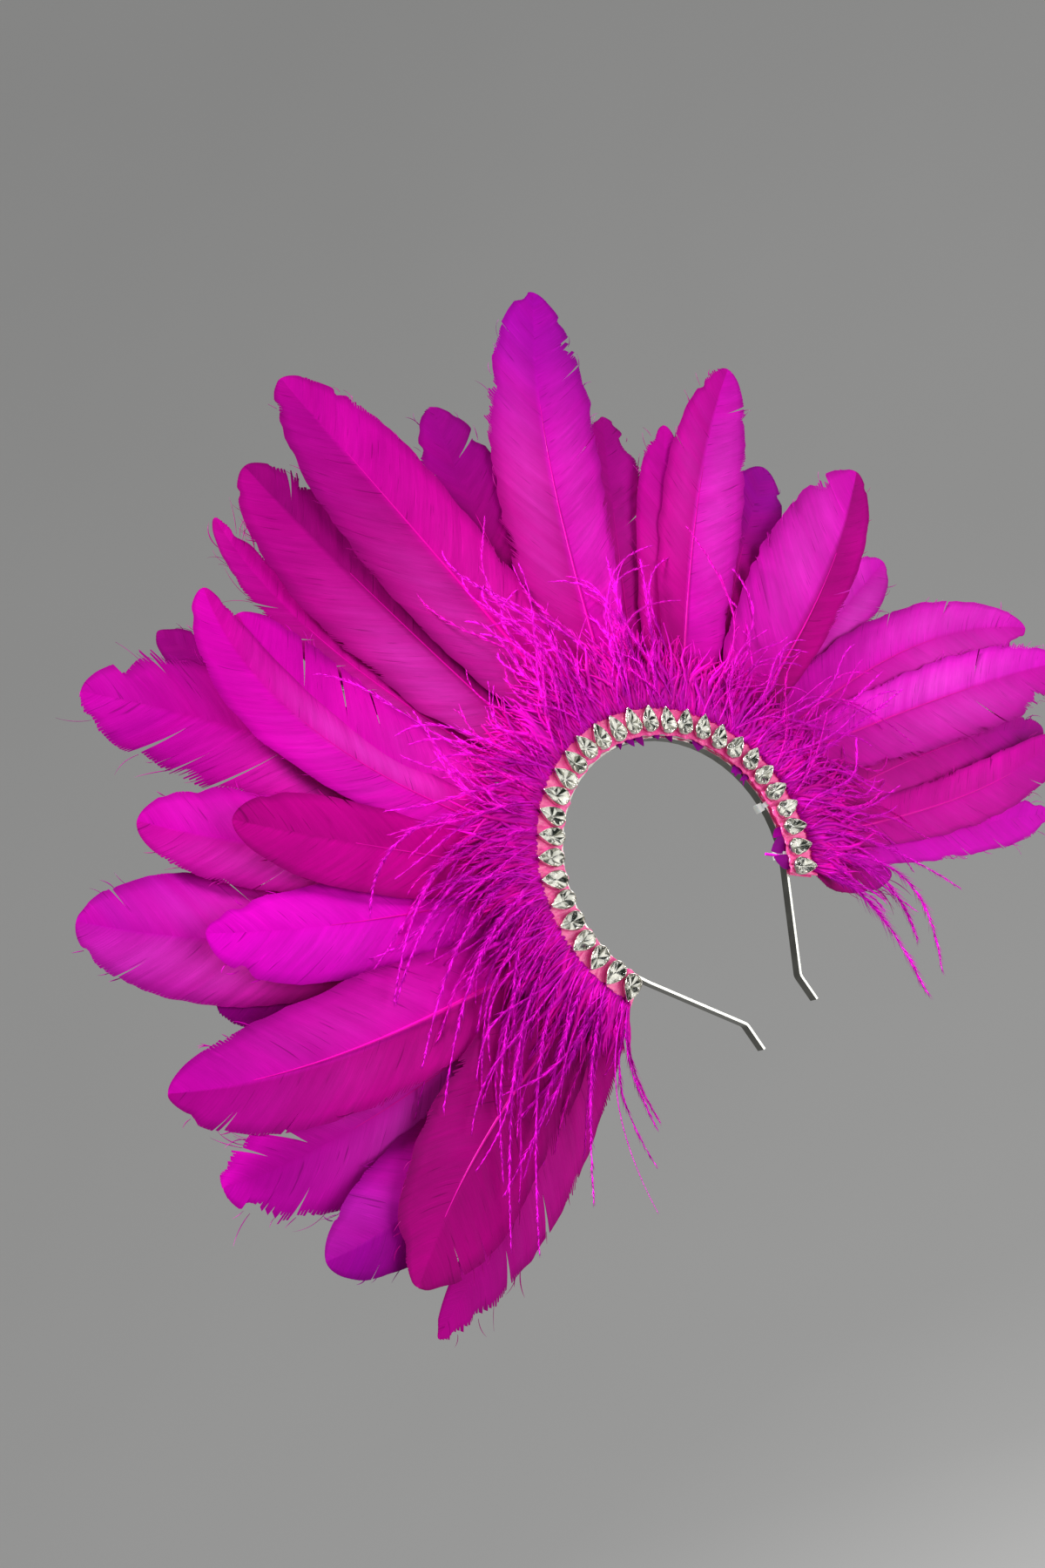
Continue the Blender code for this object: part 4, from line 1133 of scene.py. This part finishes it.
def metal_finish(name, colour, rough, grain, edge=1.0):
    """Metal with brushed grain and slightly uneven gloss, with a painted highlight, its colour 2.9 times
    brighter, where it is more than edge in front of or behind the middle of the crown's depth."""
    finish = Finish(name)
    place = finish.place()
    smudge = finish.noise(place, 90.0)
    across = finish.node("SeparateXYZ", Vector=place).outputs["Y"]
    away = finish.node("Math", operation="ABSOLUTE", Value=across).outputs["Value"]
    shade = finish.ramp(smudge, colour * 0.8, colour, 0.3, 0.7)
    # Painted highlight: the colour is 2.9 times brighter past the edge distance in depth.
    finish.set(Base_Color=finish.shaded(shade, away, 1.0, 2.9, edge, edge + 0.0002), Metallic=1.0)
    finish.set(Roughness=finish.ranged(smudge, rough * 0.8, rough * 1.25))
    finish.set(Normal=finish.bump(finish.noise(place, grain), 0.35, 0.00004))
    return finish.material


def foil_finish():
    """Mirror foil behind the stones: bright metal times each facet's painted reflection, glowing in that
    same colour.
    """
    finish = Finish("foil_painted_reflections_glow")
    colour = finish.shaded(finish.tint(), finish.noise(finish.place(), 600.0, 2.0), 0.9, 1.0)
    # Painted glow: the foil gives off its painted reflection colours as light.
    finish.set(Base_Color=colour, Emission_Color=colour, Emission_Strength=0.45)
    finish.set(Metallic=0.4, Roughness=0.08)
    return finish.material


def glass_finish():
    """Cut glass: clear, with a trace of unevenness so that no facet is perfectly dead."""
    finish = Finish("cut_glass")
    finish.set(Roughness=finish.ranged(finish.noise(finish.place(), 400.0, 2.0), 0.0, 0.03))
    finish.set(Base_Color=(0.97, 0.98, 0.96, 1.0), Transmission_Weight=1.0, IOR=1.55, Alpha=0.2)
    return finish.material


def nylon_finish():
    """White nylon of the cable ties: faintly mottled with a fine moulded grain."""
    finish = Finish("white_nylon")
    mottle = finish.noise(finish.place(), 500.0)
    finish.set(Base_Color=finish.ramp(mottle, (0.50, 0.50, 0.48), (0.68, 0.67, 0.65)))
    finish.set(Normal=finish.bump(mottle, 0.3, 0.0001), Roughness=0.45, Subsurface_Weight=0.1)
    return finish.material


def paper_finish():
    """Pale matt paper with faint clouds."""
    finish = Finish("studio_paper")
    faint = finish.noise(finish.place(), 0.8, 2.0)
    finish.set(Base_Color=finish.ramp(faint, (0.74, 0.74, 0.73), (0.78, 0.78, 0.77)))
    finish.set(Roughness=0.9, Specular_IOR_Level=0.1)
    return finish.material


def set_finish(node, finish):
    """Puts a finish on every slot of a carried-over solid."""
    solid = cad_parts[node]
    if not solid.material_slots:
        solid.data.materials.append(finish)
    for slot in solid.material_slots:
        slot.material = finish


def camera_axes():
    """Right, down and forward of the camera: yaw about the vertical, then pitch, then roll."""
    yaw, pitch, roll = np.radians(CAMERA_TURN_DEG)
    about_y = [[math.cos(yaw), 0, math.sin(yaw)], [0, 1, 0], [-math.sin(yaw), 0, math.cos(yaw)]]
    about_x = [[1, 0, 0], [0, math.cos(pitch), -math.sin(pitch)], [0, math.sin(pitch), math.cos(pitch)]]
    about_z = [[math.cos(roll), -math.sin(roll), 0], [math.sin(roll), math.cos(roll), 0], [0, 0, 1]]
    turned = np.array(about_z) @ np.array(about_x) @ np.array(about_y)
    return [np.array([row[0], row[2], -row[1]]) for row in turned]


# The add-on


def length_property(label, about, default):
    """A length that can be set in the sidebar, in metres."""
    return bpy.props.FloatProperty(name=label, description=about, default=default, unit="LENGTH")


def colour_property(label, about, default):
    """A colour that can be set in the sidebar."""
    return bpy.props.FloatVectorProperty(
        name=label, description=about, default=default, size=3, subtype="COLOR", min=0, max=1
    )


class CrownSizes(bpy.types.PropertyGroup):
    """Sizes of the crown's trim."""

    stone_length: length_property("Stone length", "Length of a stone in its cup", 0.0138)
    stone_width: length_property("Stone width", "Width of a stone in its cup", 0.0088)
    ribbon_thickness: length_property("Ribbon thickness", "Thickness of each ribbon", 0.001)
    ribbon_ripple: bpy.props.FloatProperty(
        name="Ribbon ripple", description="How strongly the sewn ribbon waves", default=1.0, min=0, max=2
    )
    seed: bpy.props.IntProperty(
        name="Seed", description="Sets how the barbs and strands fall", default=7, min=0
    )


class CrownColours(bpy.types.PropertyGroup):
    """Dye and metal colours of the crown, with colours of painted light and shade."""

    magenta: colour_property("Magenta", "Main dye of the goose feathers", (0.55, 0.0, 0.26))
    # The deep colour is the tape's dye and also the painted shade on the feathers and trimmings; hot is
    # also their painted light.
    deep: colour_property("Deep magenta", "Dye in the shade and at the base", (0.25, 0.0, 0.11))
    hot: colour_property("Hot magenta", "Brightest dye of the goose feathers", (0.82, 0.0, 0.63))
    purple: colour_property("Purple", "Dye at the tips of some feathers", (0.36, 0.0, 0.37))
    # The bloom colour is a painted highlight.
    pale: colour_property("Bloom", "Pale bloom where the barbs catch light", (0.88, 0.06, 0.69))
    shaft: colour_property("Quill", "Bright quills", (0.92, 0.003, 0.46))
    # The two ostrich colours are lit and shaded copies of one dye: painted light and shade.
    ostrich: colour_property("Ostrich", "Bright ostrich strands", (1.0, 0.004, 0.82))
    ostrich_deep: colour_property("Deep ostrich", "Shaded ostrich strands", (0.92, 0.0, 0.45))
    satin: colour_property("Satin", "Ribbon", (1.0, 0.085, 0.38))
    steel: colour_property("Steel", "Headband", (0.22, 0.22, 0.20))
    setting: colour_property("Setting", "Claw cups of the stones", (0.72, 0.68, 0.60))


def palette_of(context):
    """The chosen colours by name, as arrays."""
    colours = context.scene.crown_colours
    return {name: np.array(getattr(colours, name)) for name in CrownColours.__annotations__}


class CROWN_OT_stage(bpy.types.Operator):
    """Lays a plain pale floor that rises into a wall, and sets soft lights and the camera"""

    bl_idname = "crown.stage"
    bl_label = "Stage"

    def execute(self, context):
        turn = np.linspace(0, TURN, STAGE_SIDES, endpoint=False)
        bend = np.linspace(0.1, math.pi / 2, 14)
        cove = STAGE_RADIUS * 0.5
        flat = np.linspace(0.02, 0.5, 8) * STAGE_RADIUS
        radius = np.concatenate([flat, cove + cove * np.sin(bend), [STAGE_RADIUS]])[:, None]
        height = np.concatenate([flat * 0, cove * (1.0 - np.cos(bend)), [STAGE_HEIGHT]])[:, None]
        points = np.broadcast_arrays(radius * np.cos(turn), radius * np.sin(turn), STAGE_FLOOR + height)
        data = bpy.data.meshes.new("studio_floor")
        faces = ring_quads(len(radius), STAGE_SIDES)[:, ::-1].tolist()
        faces.append(list(range(STAGE_SIDES))[::-1])
        data.from_pydata(np.stack(points, axis=-1).reshape(-1, 3).tolist(), [], faces)
        data.shade_smooth()
        data.materials.append(paper_finish())
        floor = linked("studio_floor", data)
        floor.visible_diffuse = False
        floor.visible_shadow = False

        right, down, forward = camera_axes()
        camera = linked("camera", bpy.data.cameras.new("camera"))
        camera.data.sensor_width = CAMERA_SENSOR_MM
        camera.data.lens = CAMERA_LENS_MM
        camera.data.clip_start = CAMERA_NEAR
        placed = np.eye(4)
        placed[:3] = np.stack([right, -down, -forward, CAMERA_SPOT], axis=1)
        camera.matrix_world = Matrix(placed.tolist())
        context.scene.camera = camera

        for name, across, rise, ahead, size, power in LIGHTS:
            lamp = linked(name, bpy.data.lights.new(name, "AREA"))
            lamp.data.shape = "DISK"
            lamp.data.size = size
            lamp.data.energy = power
            spot = np.array(CAMERA_SPOT) + right * across - down * rise + forward * ahead
            aim = Vector(unit(np.array(CROWN_MIDDLE) - spot).tolist()).to_track_quat("-Z", "Y")
            lamp.matrix_world = Matrix.Translation(spot.tolist()) @ aim.to_matrix().to_4x4()
        world = bpy.data.worlds.new("studio")
        world.use_nodes = True
        sky = world.node_tree.nodes["Background"]
        sky.inputs["Color"].default_value = (*WHITE, 1.0)
        sky.inputs["Strength"].default_value = SKY_STRENGTH
        context.scene.world = world
        context.scene.view_settings.view_transform = "Standard"
        return {"FINISHED"}


class CROWN_OT_headband(bpy.types.Operator):
    """Finishes the steel headband and the nylon ties"""

    bl_idname = "crown.headband"
    bl_label = "Headband and ties"

    def execute(self, context):
        steel = palette_of(context)["steel"]
        set_finish("headband", metal_finish("dark_steel", steel, 0.3, (900.0, 30.0, 900.0), 0.0023))
        nylon = nylon_finish()
        for node in ("tie_right_upper", "tie_right_lower"):
            set_finish(node, nylon)
        return {"FINISHED"}


class CROWN_OT_ribbons(bpy.types.Operator):
    """Builds the front and back satin ribbons"""

    bl_idname = "crown.ribbons"
    bl_label = "Ribbons"

    def execute(self, context):
        sizes = context.scene.crown_sizes
        satin = satin_finish(palette_of(context)["satin"])
        random = np.random.default_rng(sizes.seed + RIBBON_SEED)
        thickness = sizes.ribbon_thickness / MM
        for name, node, inner, outer, y, curl in RIBBONS:
            mesh = Mesh()
            add_ribbon(mesh, inner, outer, y, thickness, sizes.ribbon_ripple, curl, random)
            piece = mesh.build(name, [satin], RIBBON_SHARP_DEG)
            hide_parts(node)
        return {"FINISHED"}


class CROWN_OT_stones(bpy.types.Operator):
    """Builds the pear-cut stones, each in its own claw cup"""

    bl_idname = "crown.stones"
    bl_label = "Stones"

    def execute(self, context):
        silver = palette_of(context)["setting"]
        setting = metal_finish("silver_setting", silver, 0.2, (300.0, 300.0, 300.0))
        finishes = [glass_finish(), foil_finish(), setting]
        for number in range(1, STONE_COUNT + 1):
            mesh = Mesh()
            add_stone(mesh, number, context.scene.crown_sizes)
            piece = mesh.build(f"pear_stone_{number:02d}", finishes)
            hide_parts(f"stone_{number:02d}")
        return {"FINISHED"}


class CROWN_OT_front_feathers(bpy.types.Operator):
    """Builds the eighteen goose feathers of the front row"""

    bl_idname = "crown.front_feathers"
    bl_label = "Front feathers"

    def execute(self, context):
        palette, seed = palette_of(context), context.scene.crown_sizes.seed
        finishes = [barb_finish("goose_barbs", 0.5, 0.2), shaft_finish()]
        for feather in FEATHERS:
            if feather.piece in REAR_TAPES:
                continue
            mesh = Mesh()
            add_feather(mesh, feather, FRONT_QUILL_Y, palette, seed)
            piece = mesh.build("goose_" + feather.piece, finishes, FEATHER_SHARP_DEG)
            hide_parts(feather.piece)
        return {"FINISHED"}


class CROWN_OT_rear_feathers(bpy.types.Operator):
    """Builds the three rear rows of goose feathers, each on its tape"""

    bl_idname = "crown.rear_feathers"
    bl_label = "Rear feathers"

    def execute(self, context):
        palette, seed = palette_of(context), context.scene.crown_sizes.seed
        finishes = [barb_finish("goose_barbs_rear", 0.5, 0.15), shaft_finish()]
        for row, (first, last) in REAR_TAPES.items():
            mesh = Mesh()
            for feather in FEATHERS:
                if feather.piece == row:
                    add_feather(mesh, feather, REAR_QUILL_Y, palette, seed)
            add_tape(mesh, first, last, palette["deep"])
            add_trimmings(mesh, row, palette, np.random.default_rng(seed + TRIMMING_SEED))
            if row == "rear_right":
                stub = at_depth(on_arch(*np.array(QUILL_STUB)), QUILL_STUB_Y)
                add_tube(mesh, stub, QUILL_STUB_HALF, 8, palette["ostrich"], 1)
            piece = mesh.build("goose_" + row.replace("rear", "rear_row"), finishes, FEATHER_SHARP_DEG)
            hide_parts(row.replace("rear", "rear_feathers"))
        return {"FINISHED"}


class CROWN_OT_fringe(bpy.types.Operator):
    """Builds the ostrich fringe round the ribbon's outer edge"""

    bl_idname = "crown.fringe"
    bl_label = "Ostrich fringe"

    def execute(self, context):
        palette, seed = palette_of(context), context.scene.crown_sizes.seed
        finish = ostrich_finish()
        for number, fringe in enumerate(FRINGES):
            random = np.random.default_rng(seed + FRINGE_SEED + number)
            mesh = Mesh()
            add_fringe(mesh, fringe, palette, random)
            add_long_strands(mesh, fringe.piece, palette, random)
            piece = mesh.build("ostrich_" + fringe.piece, [finish])
            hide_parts("fringe_" + fringe.piece)
        return {"FINISHED"}


class CROWN_PT_sidebar(bpy.types.Panel):
    """The crown's sizes, colours and pieces"""

    bl_idname = "CROWN_PT_sidebar"
    bl_label = "Feather Halo Crown"
    bl_space_type = "VIEW_3D"
    bl_region_type = "UI"
    bl_category = "Crown"

    def draw(self, context):
        for group in (context.scene.crown_sizes, context.scene.crown_colours):
            for name in group.bl_rna.properties.keys():
                if name not in ("rna_type", "name"):
                    self.layout.prop(group, name)
        for operator in OPERATORS:
            self.layout.operator(operator.bl_idname)


OPERATORS = (
    CROWN_OT_stage,
    CROWN_OT_headband,
    CROWN_OT_ribbons,
    CROWN_OT_stones,
    CROWN_OT_front_feathers,
    CROWN_OT_rear_feathers,
    CROWN_OT_fringe,
)
CLASSES = (CrownSizes, CrownColours, *OPERATORS, CROWN_PT_sidebar)


def register():
    """Adds the classes and the crown's settings to Blender."""
    for item in CLASSES:
        bpy.utils.register_class(item)
    bpy.types.Scene.crown_sizes = bpy.props.PointerProperty(type=CrownSizes)
    bpy.types.Scene.crown_colours = bpy.props.PointerProperty(type=CrownColours)


def unregister():
    """Takes the settings and the classes away again."""
    del bpy.types.Scene.crown_sizes
    del bpy.types.Scene.crown_colours
    for item in reversed(CLASSES):
        bpy.utils.unregister_class(item)


def main():
    """Builds the crown piece by piece."""
    register()
    bpy.ops.crown.stage()
    bpy.ops.crown.headband()
    bpy.ops.crown.ribbons()
    bpy.ops.crown.stones()
    bpy.ops.crown.front_feathers()
    bpy.ops.crown.rear_feathers()
    bpy.ops.crown.fringe()


if __name__ == "__main__":
    main()
